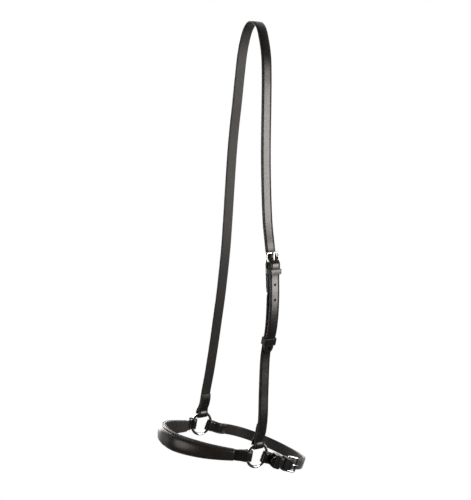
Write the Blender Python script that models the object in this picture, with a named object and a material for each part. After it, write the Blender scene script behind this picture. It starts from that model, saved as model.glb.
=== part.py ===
"""Drop noseband: a headpiece over the poll, two rings, a padded nosepiece and a buckled chin strap."""

from bisect import bisect_right
from collections import namedtuple
from math import asin, atan2, ceil, cos, hypot, pi, radians, sin, sqrt

import bmesh
import bpy
from mathutils import Matrix, Vector

# Driving sizes of the whole noseband, in metres. +X is the near (left) side, -Y the front.
HALF_SPAN = 0.0653
RING_DROP = 0.5395
RING_FORWARD = 0.0415
NOSE_REACH = 0.0890
CHIN_REACH = 0.1120
CHIN_BAR_BACK = 0.0468
NOSE_TILT = radians(12.0)
CHIN_TILT = radians(24.0)

# Straps
STRAP_WIDTH = 0.0145
STRAP_THICKNESS = 0.0026
LAP_SLIT = 0.0003
CLEARANCE = 0.0003
STATION_STEP = 0.0090
BEND_STEP = radians(8.0)
CUT_OVERRUN = 0.004
WELD_DISTANCE = 0.00001

# Rings and the folds round them
RING_BORE = 0.0270
RING_WIRE = 0.0037
RING_FOLD_RUN = 0.0080
RING_STRAIGHT = 0.0060
CHEEK_RING_LAP = 0.0210
NOSE_RING_LAP = 0.0040
CHIN_RING_LAP = 0.0040

# Buckles and the folds round their bars
BUCKLE_BAR = 0.0028
BUCKLE_LENGTH = 0.0150
BUCKLE_SIDE_PLAY = 0.0006
BUCKLE_CORNER = 0.0024
TONGUE_WIRE = 0.0024
TONGUE_SWING = radians(5.0)
BILLET_SLACK = 0.0010
CHAPE_RUN = 0.0200
CHEEK_CHAPE_LAP = 0.0130
CHIN_CHAPE_RUN = 0.0186
CHIN_CHAPE_LAP = 0.0005
SKIVE = 0.0060

# Keepers
KEEPER_THICKNESS = 0.0012
CHIN_KEEPER_WIDTH = 0.0080
CHEEK_KEEPER_WIDTH = 0.0095
FIXED_KEEPER_WIDTH = 0.0065
FIXED_KEEPER_FROM_BAR = 0.0076
KEEPER_CORNER = 0.0010
KEEPER_PLAY = 0.0005
KEEPER_TRAVEL = 0.0030

# Punched holes and strap points
HOLE_DIAMETER = 0.0034
HOLE_PITCH = 0.0188
CHEEK_HOLE_FROM_PIN = 0.0126
TIP_LENGTH = 0.0085
TIP_HOLE_FROM_END = 0.0075
TIP_FLAT_SHARE = 0.3

# Nosepiece
NOSE_WIDTH = 0.0225
NOSE_COVER = 0.0012
NOSE_LINING = 0.0010
NOSE_PADDING_HEIGHT = 0.0038
NOSE_FLANGE = 0.0016
NOSE_LAYER_GAP = 0.0005
NOSE_CROWN_SHARE = 0.35
NOSE_BLUNT_SHARE = 0.06
PAD_SHOULDER_SHARE = 0.7
NOSE_STATIONS = 26
ARCH_STEPS = 8

# Stitching
THREAD = 0.0008
STITCH_PITCH = 0.0042
STITCH_EDGE = 0.0022
STITCH_HOLE_PLAY = 0.0003

# Finishes: colour, roughness, metallic
BLACK_LEATHER = ((0.016, 0.014, 0.013, 1.0), 0.48, 0.0)
LINING_LEATHER = ((0.030, 0.024, 0.020, 1.0), 0.62, 0.0)
PADDING_FELT = ((0.16, 0.15, 0.14, 1.0), 0.95, 0.0)
NICKEL = ((0.72, 0.71, 0.69, 1.0), 0.18, 1.0)
BLACK_THREAD = ((0.022, 0.020, 0.020, 1.0), 0.70, 0.0)

# The headpiece across its plane as shares of HALF_SPAN, and down it as shares of the drop.
# A billet lies off the strap below it by shares of STRAP_THICKNESS.
OFF_SIDE_SHARES = (
    (-0.930, 0.947), (-0.881, 0.914), (-0.795, 0.848), (-0.714, 0.783), (-0.645, 0.7195),
    (-0.580, 0.657), (-0.536, 0.596), (-0.505, 0.535), (-0.498, 0.476), (-0.498, 0.418),
    (-0.498, 0.360), (-0.492, 0.302), (-0.470, 0.245), (-0.430, 0.188), (-0.394, 0.123),
    (-0.360, 0.076), (-0.306, 0.044), (-0.215, 0.0155), (-0.120, 0.0030), (-0.060, 0.0),
    (-0.040, 0.0),
)
NEAR_SIDE_SHARES = (
    (0.040, 0.0), (0.060, 0.0), (0.120, 0.0028), (0.215, 0.0130), (0.335, 0.0420),
    (0.425, 0.0750), (0.490, 0.1266), (0.534, 0.180), (0.573, 0.234), (0.617, 0.288),
    (0.674, 0.343), (0.743, 0.397), (0.830, 0.452), (0.925, 0.4925),
)
CHEEK_BAR_SHARE = (1.049, 0.5396)
CHEEKPIECE_SHARES = (
    (1.058, 0.560), (1.100, 0.605), (1.125, 0.655), (1.118, 0.692), (1.075, 0.722),
    (1.042, 0.754), (1.044, 0.785), (1.062, 0.825), (1.080, 0.868), (1.084, 0.905),
    (1.060, 0.942),
)
CHEEK_BILLET_SHARES = (
    (2.20, 0.566), (2.24, 0.605), (2.15, 0.650), (1.78, 0.690), (1.46, 0.722), (1.29, 0.747),
)
CHEEK_RUNNING_KEEPER_SHARE = 0.7165
CHEEK_BILLET_HOLES = 3

# The chin strap across its plane as shares of HALF_SPAN, and back along it as shares of
# CHIN_REACH for the long strap and of CHIN_BAR_BACK for the short one and the billet over it
CHIN_LONG_SHARES = (
    (-0.930, 0.250), (-1.000, 0.390), (-1.060, 0.530), (-1.060, 0.670), (-0.940, 0.810),
    (-0.690, 0.920), (-0.350, 0.985), (-0.110, 1.0), (0.110, 1.0), (0.400, 0.975),
    (0.690, 0.900), (0.905, 0.755),
)
CHIN_BAR_SHARE = (1.120, 1.0)
CHIN_SHORT_SHARES = ((1.105, 0.814), (1.060, 0.586))
CHIN_BILLET_SHARES = ((3.10, 0.842), (4.25, 0.634), (4.25, 0.395))
CHIN_RUNNING_KEEPER_SHARE = 0.598
CHIN_SPARE_HOLES = 2

# The nosepiece across its plane as shares of HALF_SPAN, and forward as shares of NOSE_REACH
NOSE_SHARES = (
    (-0.895, 0.270), (-0.840, 0.400), (-0.815, 0.530), (-0.785, 0.660), (-0.710, 0.785),
    (-0.560, 0.905), (-0.330, 0.980), (-0.110, 1.0), (0.100, 0.992), (0.300, 0.930),
    (0.500, 0.822), (0.655, 0.706), (0.790, 0.556), (0.890, 0.412), (0.960, 0.270),
)

Fold = namedtuple("Fold", "radius depth run lap")

HEAD_DROP = hypot(RING_DROP, RING_FORWARD)
HEAD_LEAN = atan2(RING_DROP, RING_FORWARD)
RING_RADIUS = (RING_BORE + RING_WIRE) / 2
HALF_STRAP = STRAP_WIDTH / 2
HALF_LEATHER = STRAP_THICKNESS / 2
HALF_PITCH = (STRAP_THICKNESS + LAP_SLIT) / 2
RING_FOLD_RADIUS = RING_WIRE / 2 + CLEARANCE + HALF_LEATHER
RING_FOLD_CENTRE = (sqrt(RING_BORE**2 - STRAP_WIDTH**2) + RING_WIRE) / 2
RING_FOLD_DEPTH = RING_RADIUS - RING_FOLD_CENTRE + RING_WIRE / 4
BAR_FOLD_RADIUS = BUCKLE_BAR / 2 + CLEARANCE + HALF_LEATHER
TONGUE_RADIUS = (BUCKLE_BAR + TONGUE_WIRE) / 2 + CLEARANCE
FRONT_BAR_REACH = BUCKLE_BAR / 2 + BILLET_SLACK + HALF_LEATHER
CHAPE_REACH = BAR_FOLD_RADIUS + STRAP_THICKNESS + BILLET_SLACK


def ring_fold(lap):
    return Fold(RING_FOLD_RADIUS, RING_FOLD_DEPTH, RING_FOLD_RUN, lap)


def bar_fold(run, lap):
    return Fold(BAR_FOLD_RADIUS, BUCKLE_BAR / 4, run, lap)


def remove_startup_objects():
    for item in list(bpy.data.objects):
        bpy.data.objects.remove(item, do_unlink=True)


def new_collection(name):
    collection = bpy.data.collections.new(name)
    bpy.context.scene.collection.children.link(collection)
    return collection


def finish_material(name, finish):
    colour, roughness, metallic = finish
    material = bpy.data.materials.new(name)
    material.use_nodes = True
    shader = material.node_tree.nodes["Principled BSDF"]
    shader.inputs["Base Color"].default_value = colour
    shader.inputs["Roughness"].default_value = roughness
    shader.inputs["Metallic"].default_value = metallic
    material.diffuse_color = colour
    return material


class Route:
    """A smooth line through points of a plane, read by its length from the first point."""

    def __init__(self, points, span_steps=10):
        points = [Vector(point) for point in points]
        padded = [2 * points[0] - points[1], *points, 2 * points[-1] - points[-2]]
        self.points = [points[0]]
        for first, start, end, last in zip(padded, padded[1:], padded[2:], padded[3:]):
            self.points += [
                self.between(first, start, end, last, step / span_steps)
                for step in range(1, span_steps + 1)
            ]
        self.lengths = [0.0]
        for start, end in zip(self.points, self.points[1:]):
            self.lengths.append(self.lengths[-1] + (end - start).length)
        self.length = self.lengths[-1]

    @staticmethod
    def between(first, start, end, last, share):
        """One point of a centripetal curve through four points, between the middle two."""
        knots = [0.0]
        for one, other in ((first, start), (start, end), (end, last)):
            knots.append(knots[-1] + sqrt((other - one).length))
        place = knots[1] + share * (knots[2] - knots[1])

        def mix(one, other, low, high):
            return one.lerp(other, (place - low) / (high - low))

        left = mix(first, start, knots[0], knots[1])
        middle = mix(start, end, knots[1], knots[2])
        right = mix(end, last, knots[2], knots[3])
        lower = mix(left, middle, knots[0], knots[2])
        upper = mix(middle, right, knots[1], knots[3])
        return mix(lower, upper, knots[1], knots[2])

    def span(self, place):
        return min(max(bisect_right(self.lengths, place) - 1, 0), len(self.points) - 2)

    def at(self, place):
        index = self.span(place)
        start, end = self.points[index], self.points[index + 1]
        share = (place - self.lengths[index]) / (self.lengths[index + 1] - self.lengths[index])
        return start.lerp(end, share)

    def tangent(self, place):
        reach = STATION_STEP / 4
        low, high = max(place - reach, 0.0), min(place + reach, self.length)
        return (self.at(high) - self.at(low)).normalized()

    def normal(self, place):
        """The side to the left of the way along, which is the outer face of every strap."""
        tangent = self.tangent(place)
        return Vector((-tangent.y, tangent.x))

    def beside(self, place, offset):
        return self.at(place) + offset * self.normal(place)

    def bends(self):
        """Places where the line has turned by another BEND_STEP."""
        places, turned = [], 0.0
        for index in range(1, len(self.points) - 1):
            before = self.points[index] - self.points[index - 1]
            after = self.points[index + 1] - self.points[index]
            turned += before.angle(after)
            if turned >= BEND_STEP:
                places.append(self.lengths[index])
                turned = 0.0
        return places

    def level_place(self, level):
        """The place where the line is at this distance along its plane's Y axis."""
        places = [step * self.length / 2000 for step in range(2001)]
        return min(places, key=lambda place: abs(self.at(place).y - level))

    def nearest(self, point):
        places = [step * self.length / 2000 for step in range(2001)]
        return min(places, key=lambda place: (self.at(place) - point).length)


def fold_offset(fold, place):
    """How far the outer layer lies off the middle of a doubled end, at this place past the fold."""
    if fold is None:
        return 0.0
    if place <= fold.depth:
        return fold.radius
    if place <= fold.depth + fold.run:
        return fold.radius + (HALF_PITCH - fold.radius) * (place - fold.depth) / fold.run
    lap_end = fold.depth + fold.run + fold.lap
    if place <= lap_end:
        return HALF_PITCH
    return HALF_PITCH * max(0.0, 1.0 - (place - lap_end) / SKIVE)


def lap_places(fold):
    lap_end = fold.depth + fold.run + fold.lap
    count = max(2, ceil((lap_end - fold.depth) / STATION_STEP))
    steps = [fold.depth + (lap_end - fold.depth) * step / count for step in range(count + 1)]
    return sorted({0.0, *steps, fold.depth + fold.run})


def half_turn(centre, first, turn, radius, steps=8):
    """Points of a half circle from the side of first, through turn, to the other side."""
    angles = [pi * step / steps for step in range(steps + 1)]
    return [centre + radius * (cos(angle) * first + sin(angle) * turn) for angle in angles]


def strap_outline(route, start=None, end=None):
    """The side view of a strap, whose ends are plain or folded back round a bore."""
    length = route.length

    def offset(place):
        return max(fold_offset(start, place), fold_offset(end, length - place))

    low = lap_places(start)[-1] if start else 0.0
    high = length - lap_places(end)[-1] if end else length
    places = single_places(route, low, high)
    if start:
        places = lap_places(start)[:-1] + places
    if end:
        places += [length - place for place in lap_places(end)[-2::-1]]
    outer = [route.beside(place, offset(place) + HALF_LEATHER) for place in places]
    inner = [route.beside(place, offset(place) - HALF_LEATHER) for place in places]
    head, tail = [], []
    if start:
        centre, side, back = route.at(0.0), route.normal(0.0), -route.tangent(0.0)
        laps = lap_places(start)
        head_inner = [route.beside(p, HALF_LEATHER - fold_offset(start, p)) for p in laps[1:]]
        head_outer = [route.beside(p, -HALF_LEATHER - fold_offset(start, p)) for p in laps[1:]]
        inner_turn = half_turn(centre, side, back, start.radius - HALF_LEATHER)
        outer_turn = half_turn(centre, -side, back, start.radius + HALF_LEATHER)
        head = inner_turn[1:] + head_inner + head_outer[::-1] + outer_turn[:-1]
    if end:
        centre, side, on = route.at(length), route.normal(length), route.tangent(length)
        laps = [length - place for place in lap_places(end)]
        tail_inner = [route.beside(p, HALF_LEATHER - fold_offset(end, length - p)) for p in laps[1:]]
        tail_outer = [route.beside(p, -HALF_LEATHER - fold_offset(end, length - p)) for p in laps[1:]]
        outer_turn = half_turn(centre, side, on, end.radius + HALF_LEATHER)
        inner_turn = half_turn(centre, -side, on, end.radius - HALF_LEATHER)
        tail = outer_turn[1:] + tail_outer + tail_inner[::-1] + inner_turn[:-1]
    return outer + tail + inner[::-1] + head


def single_places(route, low, high):
    """Places along a single layer: even steps, and more where it bends, without near repeats."""
    count = ceil((high - low) / STATION_STEP)
    even = [low + (high - low) * step / count for step in range(count)]
    kept = [low]
    for place in sorted([*even, low + SKIVE, high - SKIVE, *route.bends()]):
        if place - kept[-1] > HALF_LEATHER and high - place > HALF_LEATHER:
            kept.append(place)
    return [*kept, high]


def flat_mesh(name, outlines, half_thickness):
    """A closed mesh from flat outlines, as thick as twice half_thickness across their plane."""
    curve = bpy.data.curves.new(name, "CURVE")
    curve.dimensions = "2D"
    curve.fill_mode = "BOTH"
    curve.extrude = half_thickness
    for outline in outlines:
        spline = curve.splines.new("POLY")
        spline.points.add(len(outline) - 1)
        spline.use_cyclic_u = True
        for point, place in zip(spline.points, outline):
            point.co = (place.x, place.y, 0.0, 1.0)
    return curve_to_mesh(name, curve)


def curve_to_mesh(name, curve):
    helper = bpy.data.objects.new(name, curve)
    bpy.context.scene.collection.objects.link(helper)
    graph = bpy.context.evaluated_depsgraph_get()
    mesh = bpy.data.meshes.new_from_object(helper.evaluated_get(graph))
    mesh.name = name
    bpy.data.objects.remove(helper, do_unlink=True)
    work = bmesh.new()
    work.from_mesh(mesh)
    bmesh.ops.remove_doubles(work, verts=work.verts, dist=CLEARANCE / 100)
    bmesh.ops.recalc_face_normals(work, faces=work.faces)
    work.to_mesh(mesh)
    work.free()
    return mesh


def place_object(name, mesh, collection, parent=None, matrix=None, material=None):
    item = bpy.data.objects.new(name, mesh)
    collection.objects.link(item)
    item.parent = parent
    item.matrix_basis = matrix or Matrix.Identity(4)
    if material:
        mesh.materials.clear()
        mesh.materials.append(material)
    return item


def smooth(item, angle=radians(35.0)):
    item.data.shade_smooth()
    item.data.set_sharp_from_angle(angle=angle)


def pivot(name, location, tilt, collection):
    """An empty whose X axis is the ring axis, and whose Y axis runs along the straps it carries."""
    item = bpy.data.objects.new(name, None)
    item.empty_display_size = RING_BORE
    item.location = location
    item.rotation_euler = (tilt, 0.0, 0.0)
    collection.objects.link(item)
    return item


def frame_matrix(place, across, along):
    """A matrix at a place of a strap's plane: X is across, Y the strap's width, Z is along."""
    width = Vector((0.0, 0.0, 1.0))
    matrix = Matrix.Identity(4)
    for column, axis in enumerate((across.to_3d(), width, along.to_3d())):
        for row in range(3):
            matrix[row][column] = axis[row]
    handed = matrix.to_3x3().determinant()
    if handed < 0:
        for row in range(3):
            matrix[row][1] = -matrix[row][1]
    matrix.translation = place.to_3d()
    return matrix


def drill(radius, start, end, sides=12):
    """A closed cylinder between two points of space."""
    work = bmesh.new()
    way = end - start
    turn = way.to_track_quat("Z", "Y").to_matrix().to_4x4()
    turn.translation = (start + end) / 2
    bmesh.ops.create_cone(
        work, cap_ends=True, segments=sides, radius1=radius, radius2=radius,
        depth=way.length, matrix=turn,
    )
    return work


def hole_drill(route, place, radius):
    """A drill through a strap, square to its faces, at a place of its route."""
    reach = (STRAP_THICKNESS + CUT_OVERRUN) * route.normal(place)
    return drill(radius, (route.at(place) - reach).to_3d(), (route.at(place) + reach).to_3d())


def box(low, high, matrix):
    work = bmesh.new()
    size = high - low
    shape = Matrix.Translation((low + high) / 2) @ Matrix.Diagonal((*size, 1.0))
    bmesh.ops.create_cube(work, size=1.0, matrix=matrix @ shape)
    return work


def join(name, shapes):
    """One mesh of several separate shapes."""
    joined = bmesh.new()
    for shape in shapes:
        part = bpy.data.meshes.new(name)
        shape.to_mesh(part)
        shape.free()
        joined.from_mesh(part)
        bpy.data.meshes.remove(part)
    mesh = bpy.data.meshes.new(name)
    joined.to_mesh(mesh)
    joined.free()
    return mesh


def cut(item, name, shapes, cutters):
    """Cuts shapes, given in the object's own plane, out of it."""
    cutter = place_object(name, join(name, shapes), cutters, item.parent, item.matrix_basis.copy())
    cutter.hide_render = True
    cutter.display_type = "WIRE"
    modifier = item.modifiers.new(name, "BOOLEAN")
    modifier.object = cutter
    modifier.operation = "DIFFERENCE"
    modifier.solver = "EXACT"


def weld(item):
    """Joins the points that the cuts leave almost on top of each other."""
    modifier = item.modifiers.new("weld", "WELD")
    modifier.merge_threshold = WELD_DISTANCE


def tip_cutter(route):
    """What is cut off a plain end to leave a strap point."""
    end = route.length
    half, flat = HALF_STRAP + CUT_OVERRUN, HALF_STRAP * TIP_FLAT_SHARE
    over, back = CUT_OVERRUN, TIP_LENGTH
    points = [
        (-half, -back), (-HALF_STRAP, -back), (-flat, 0.0), (flat, 0.0), (HALF_STRAP, -back),
        (half, -back), (half, over), (-half, over),
    ]
    mesh = flat_mesh("tip", [[Vector(point) for point in points]], STRAP_THICKNESS + CUT_OVERRUN)
    work = bmesh.new()
    work.from_mesh(mesh)
    bpy.data.meshes.remove(mesh)
    along, across = route.tangent(end), route.normal(end)
    matrix = frame_matrix(route.at(end), across, along)
    swap = Matrix(((0, 0, 1, 0), (1, 0, 0, 0), (0, 1, 0, 0), (0, 0, 0, 1)))
    bmesh.ops.transform(work, matrix=matrix @ swap, verts=work.verts)
    bmesh.ops.recalc_face_normals(work, faces=work.faces)
    return work


def make_ring(name, side, collection, material):
    """A round ring in the plane square to X, with its centre on the ring axis."""
    bpy.ops.mesh.primitive_torus_add(
        major_segments=40, minor_segments=10, major_radius=RING_RADIUS, minor_radius=RING_WIRE / 2,
    )
    item = bpy.context.active_object
    for holder in list(item.users_collection):
        holder.objects.unlink(item)
    collection.objects.link(item)
    item.name = item.data.name = name
    item.rotation_euler = (0.0, pi / 2, 0.0)
    item.location = (side * HALF_SPAN, -RING_FORWARD, -RING_DROP)
    item.data.materials.append(material)
    smooth(item)
    return item


def wire_mesh(name, points, diameter, closed, resolution=2):
    curve = bpy.data.curves.new(name, "CURVE")
    curve.dimensions = "3D"
    curve.bevel_depth = diameter / 2
    curve.bevel_resolution = resolution
    curve.use_fill_caps = not closed
    spline = curve.splines.new("POLY")
    spline.points.add(len(points) - 1)
    spline.use_cyclic_u = closed
    for point, place in zip(spline.points, points):
        point.co = (*place, 1.0)
    return curve_to_mesh(name, curve)


def make_buckle_frame(name, matrix, parent, collection, material):
    """A round-wire rectangle: its chape bar on the origin, its front bar along +Z."""
    half = HALF_STRAP + BUCKLE_SIDE_PLAY + BUCKLE_BAR / 2
    corners = ((-half, 0.0), (half, 0.0), (half, BUCKLE_LENGTH), (-half, BUCKLE_LENGTH))
    points = []
    for index, (width, length) in enumerate(corners):
        inward = Vector((-1 if width > 0 else 1, 1 if length == 0 else -1)) * BUCKLE_CORNER
        centre = Vector((width, length)) + inward
        start = radians(225.0) + index * pi / 2 - pi / 4
        for step in range(5):
            angle = start + step * pi / 8
            place = centre + BUCKLE_CORNER * Vector((cos(angle), sin(angle)))
            points.append((0.0, place.x, place.y))
    mesh = wire_mesh(name, points, BUCKLE_BAR, closed=True)
    item = place_object(name, mesh, collection, parent, matrix, material)
    smooth(item)
    return item


def make_tongue(name, matrix, parent, collection, material):
    """A hook bent round the chape bar, whose pin reaches over the front bar."""
    sweep, steps = radians(260.0), 12
    angles = [pi / 2 + sweep - sweep * step / steps for step in range(steps + 1)]
    points = [(TONGUE_RADIUS * sin(angle), 0.0, TONGUE_RADIUS * cos(angle)) for angle in angles]
    reach = BUCKLE_LENGTH + BUCKLE_BAR / 2
    points += [(TONGUE_RADIUS, 0.0, reach * share) for share in (1 / 2, 1)]
    mesh = wire_mesh(name, points, TONGUE_WIRE, closed=False)
    item = place_object(name, mesh, collection, parent, matrix, material)
    smooth(item)
    return item


def tongue_slot(matrix):
    """The slot through a fold that the tongue's hook turns in."""
    half = TONGUE_WIRE / 2 + CLEARANCE
    outer = BAR_FOLD_RADIUS + HALF_LEATHER + CUT_OVERRUN
    inner = TONGUE_RADIUS + TONGUE_WIRE / 2 + CLEARANCE
    return box(Vector((-outer, -half, -inner)), Vector((outer, half, outer)), matrix)


def tongue_hole(matrix):
    """Drills through the billet along the pin, at rest and swung out, in the buckle's own frame."""
    shapes = []
    for swing in (0.0, TONGUE_SWING / 2, TONGUE_SWING):
        turn = matrix @ Matrix.Rotation(swing, 4, "Y")
        start = turn @ Vector((TONGUE_RADIUS, 0.0, 0.0))
        end = turn @ Vector((TONGUE_RADIUS, 0.0, BUCKLE_LENGTH - BUCKLE_BAR))
        shapes.append(drill(TONGUE_WIRE / 2 + CLEARANCE, start, end))
    return shapes


def rounded_rectangle(low, high, corner, steps=3):
    points = []
    centres = (
        (high.x - corner, high.y - corner), (low.x + corner, high.y - corner),
        (low.x + corner, low.y + corner), (high.x - corner, low.y + corner),
    )
    for index, centre in enumerate(centres):
        for step in range(steps + 1):
            angle = (index + step / steps) * pi / 2
            points.append(Vector(centre) + corner * Vector((cos(angle), sin(angle))))
    return points


def make_keeper(name, route, place, inner, outer, width, parent, collection, material):
    """A leather loop round a strap: its bore runs from inner to outer, measured off the route."""
    half = HALF_STRAP + CLEARANCE
    low, high = Vector((inner, -half)), Vector((outer, half))
    wall = Vector((KEEPER_THICKNESS, KEEPER_THICKNESS))
    bore = rounded_rectangle(low, high, KEEPER_CORNER / 4)
    body = rounded_rectangle(low - wall, high + wall, KEEPER_CORNER)
    mesh = flat_mesh(name, [body, bore], width / 2)
    matrix = frame_matrix(route.at(place), route.normal(place), -route.tangent(place))
    return place_object(name, mesh, collection, parent, matrix, material)


def loft(name, sections):
    """A closed solid through rings of points, with flat ends."""
    work = bmesh.new()
    rings = [[work.verts.new(point) for point in section] for section in sections]
    for near, far in zip(rings, rings[1:]):
        for index in range(len(near)):
            following = (index + 1) % len(near)
            work.faces.new((near[index], near[following], far[following], far[index]))
    work.faces.new(rings[0][::-1])
    work.faces.new(rings[-1])
    bmesh.ops.recalc_face_normals(work, faces=work.faces)
    mesh = bpy.data.meshes.new(name)
    work.to_mesh(mesh)
    work.free()
    return mesh


def swell_share(route, fold, place):
    """How far a place lies along the nosepiece's layers, from 0 at one end to 1 at the other."""
    start = lap_places(fold)[-1] + SKIVE
    return min(max((place - start) / (route.length - 2 * start), 0.0), 1.0)


def nose_width(share):
    """Width of the nosepiece at a share of its layers: strap width at the ends, full in front."""
    return STRAP_WIDTH + (NOSE_WIDTH - STRAP_WIDTH) * sin(pi * share)


def arch(half_width, base, height):
    """Points over a crowned pad as (outward, width), from one edge to the other."""
    angles = [pi * step / ARCH_STEPS for step in range(ARCH_STEPS + 1)]
    return [
        Vector((base + height * sin(angle) ** PAD_SHOULDER_SHARE, -half_width * cos(angle)))
        for angle in angles
    ]


def crown(share):
    """Height of the padding at a share of the layers, blunt at both ends."""
    inner = NOSE_BLUNT_SHARE + (1 - 2 * NOSE_BLUNT_SHARE) * share
    return NOSE_PADDING_HEIGHT * sin(pi * inner) ** NOSE_CROWN_SHARE


def cover_section(share):
    """A gutter over the padding, with a flat flange along each edge of the backing."""
    half, base = nose_width(share) / 2, HALF_LEATHER + NOSE_LAYER_GAP
    top, shoulder = base + NOSE_COVER, half - NOSE_FLANGE
    gap = shoulder - NOSE_COVER
    outer = arch(shoulder, top, crown(share))
    inner = arch(gap, base, crown(share))
    return [
        Vector((base, -half)), Vector((top, -half)), *outer, Vector((top, half)),
        Vector((base, half)), *inner[::-1],
    ]


def padding_section(share):
    half = nose_width(share) / 2 - NOSE_FLANGE - NOSE_COVER - CLEARANCE
    return arch(half, HALF_LEATHER + NOSE_LAYER_GAP, crown(share) - CLEARANCE)


def lining_section(share):
    half, top = nose_width(share) / 2, -HALF_LEATHER - NOSE_LAYER_GAP
    base = top - NOSE_LINING
    return [Vector((base, -half)), Vector((top, -half)), Vector((top, half)), Vector((base, half))]


def nose_layer(name, route, fold, section, parent, collection, material):
    """A layer that runs between the nosepiece's folds with a changing cross section."""
    start = lap_places(fold)[-1] + SKIVE
    run = route.length - 2 * start
    sections = []
    for step in range(NOSE_STATIONS + 1):
        place = start + run * step / NOSE_STATIONS
        ring = []
        for outward, width in section(swell_share(route, fold, place)):
            spot = route.beside(place, outward)
            ring.append((spot.x, spot.y, width))
        sections.append(ring)
    return place_object(name, loft(name, sections), collection, parent, None, material)


def swell_edges(mesh, route, fold):
    """Widens the backing from strap width at its folds to the nosepiece's width in front."""
    for vertex in mesh.vertices:
        place = route.nearest(vertex.co.to_2d())
        vertex.co.z *= nose_width(swell_share(route, fold, place)) / STRAP_WIDTH


def stitch_rows(route, fold, from_end, first):
    """Pierced places down one edge of a lap and back up the other, as (place, width) pairs."""
    last = lap_places(fold)[-1] - STITCH_EDGE
    count = max(1, round((last - first) / STITCH_PITCH))
    down = [first + (last - first) * step / count for step in range(count + 1)]
    edge = HALF_STRAP - STITCH_EDGE
    rows = [(place, -edge) for place in down] + [(place, edge) for place in down[::-1]]
    if from_end:
        rows = [(route.length - place, width) for place, width in rows]
    return rows


def make_stitching(name, item, route, fold, from_end, first, collection, cutters, material):
    """One waxed thread that passes to and fro through the pierced holes of a lap."""
    rows = stitch_rows(route, fold, from_end, first)
    proud = HALF_LEATHER + THREAD / 2 + CLEARANCE
    points, shapes = [], []
    for index, (place, width) in enumerate(rows):
        inside = route.length - place if from_end else place
        reach = fold_offset(fold, inside) + proud
        sides = (reach, -reach) if index % 2 == 0 else (-reach, reach)
        ends = [(*route.beside(place, side), width) for side in sides]
        points += ends
        through = Vector(ends[1]) - Vector(ends[0])
        over = through.normalized() * THREAD
        shapes.append(drill(THREAD / 2 + STITCH_HOLE_PLAY, Vector(ends[0]) - over,
                            Vector(ends[1]) + over, sides=6))
    cut(item, name + "_holes", shapes, cutters)
    mesh = wire_mesh(name, points, THREAD, closed=False, resolution=0)
    return place_object(name, mesh, collection, item.parent, None, material)


def strap(name, route, folds, parent, collection, material):
    mesh = flat_mesh(name, [strap_outline(route, *folds)], HALF_STRAP)
    return place_object(name, mesh, collection, parent, None, material)


def stack_offset(route, place, width, other):
    """The most that another strap's route lies off this one, square to it, within a keeper."""
    normal, along, base = route.normal(place), route.tangent(place), route.at(place)
    ways = [point - base for point in other.points]
    reach = width / 2 + KEEPER_TRAVEL
    return max(way.dot(normal) for way in ways if abs(way.dot(along)) <= reach)


def inner_reach(route, place, width, end):
    """The least offset of a keeper's bore that clears the strap's own layers, with play."""
    normal, along, base = route.normal(place), route.tangent(place), route.at(place)
    reach, offsets = width / 2 + KEEPER_TRAVEL, []
    for point, passed in zip(route.points, route.lengths):
        way = point - base
        if abs(way.dot(along)) <= reach:
            offsets.append(way.dot(normal) - fold_offset(end, route.length - passed))
    return min(offsets) - HALF_LEATHER - KEEPER_PLAY


def billet_crossing(bar, out, up):
    """Points where a billet crosses from inside the front bar to outside the folded chape."""
    slope = asin((FRONT_BAR_REACH + CHAPE_REACH) / BUCKLE_LENGTH)
    front = (BUCKLE_LENGTH - FRONT_BAR_REACH * sin(slope), -FRONT_BAR_REACH * cos(slope))
    over = (CHAPE_REACH * sin(slope), CHAPE_REACH * cos(slope))
    round_bar = (CHAPE_REACH * sin(slope / 2), CHAPE_REACH * cos(slope / 2))
    seated = (0.0, CHAPE_REACH)
    return [bar + along * up + off * out for along, off in (front, over, round_bar, seated)]


def billet_points(under, shares, run):
    """Points of a billet that lies over a strap, at shares of a run along the plane's Y axis."""
    return [
        under.beside(under.level_place(share * run), lift * STRAP_THICKNESS)
        for lift, share in shares
    ]


def ring_end(side, level, way):
    """The middle of a fold round a ring, and a point straight on from it."""
    start = Vector((side * HALF_SPAN, level))
    return [start, start + Vector((0.0, way * RING_STRAIGHT))]


def head_point(share, drop_share):
    return Vector((share * HALF_SPAN, -drop_share * HEAD_DROP))


def head_routes():
    """Routes of the headpiece and the near cheekpiece in the plane that leans with the cheeks."""
    level = RING_FOLD_CENTRE - HEAD_DROP
    bar = head_point(*CHEEK_BAR_SHARE)
    ring = ring_end(1, level, 1)
    cheek = Route([bar, *(head_point(*pair) for pair in CHEEKPIECE_SHARES), *ring[::-1]])
    lift = Vector((0.0, HALF_LEATHER))
    head = Route([
        *ring_end(-1, level, 1),
        *(head_point(*pair) + lift for pair in OFF_SIDE_SHARES),
        *(head_point(*pair) + lift for pair in NEAR_SIDE_SHARES),
        *billet_crossing(bar, cheek.normal(0.0), -cheek.tangent(0.0)),
        *billet_points(cheek, CHEEK_BILLET_SHARES, -HEAD_DROP),
    ])
    return head, cheek


def chin_point(share, back_share, back=CHIN_REACH):
    return Vector((share * HALF_SPAN, back_share * back))


def chin_routes():
    """Routes of the long and the short chin strap in the plane that falls to the rear."""
    bar = chin_point(*CHIN_BAR_SHARE, CHIN_BAR_BACK)
    ring = ring_end(1, RING_FOLD_CENTRE, 1)
    ahead = [chin_point(*pair, CHIN_BAR_BACK) for pair in CHIN_SHORT_SHARES]
    short = Route([bar, *ahead, *ring[::-1]])
    long = Route([
        *ring_end(-1, RING_FOLD_CENTRE, 1),
        *(chin_point(*pair) for pair in CHIN_LONG_SHARES),
        *billet_crossing(bar, short.normal(0.0), -short.tangent(0.0)),
        *billet_points(short, CHIN_BILLET_SHARES, CHIN_BAR_BACK),
    ])
    return long, short


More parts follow.
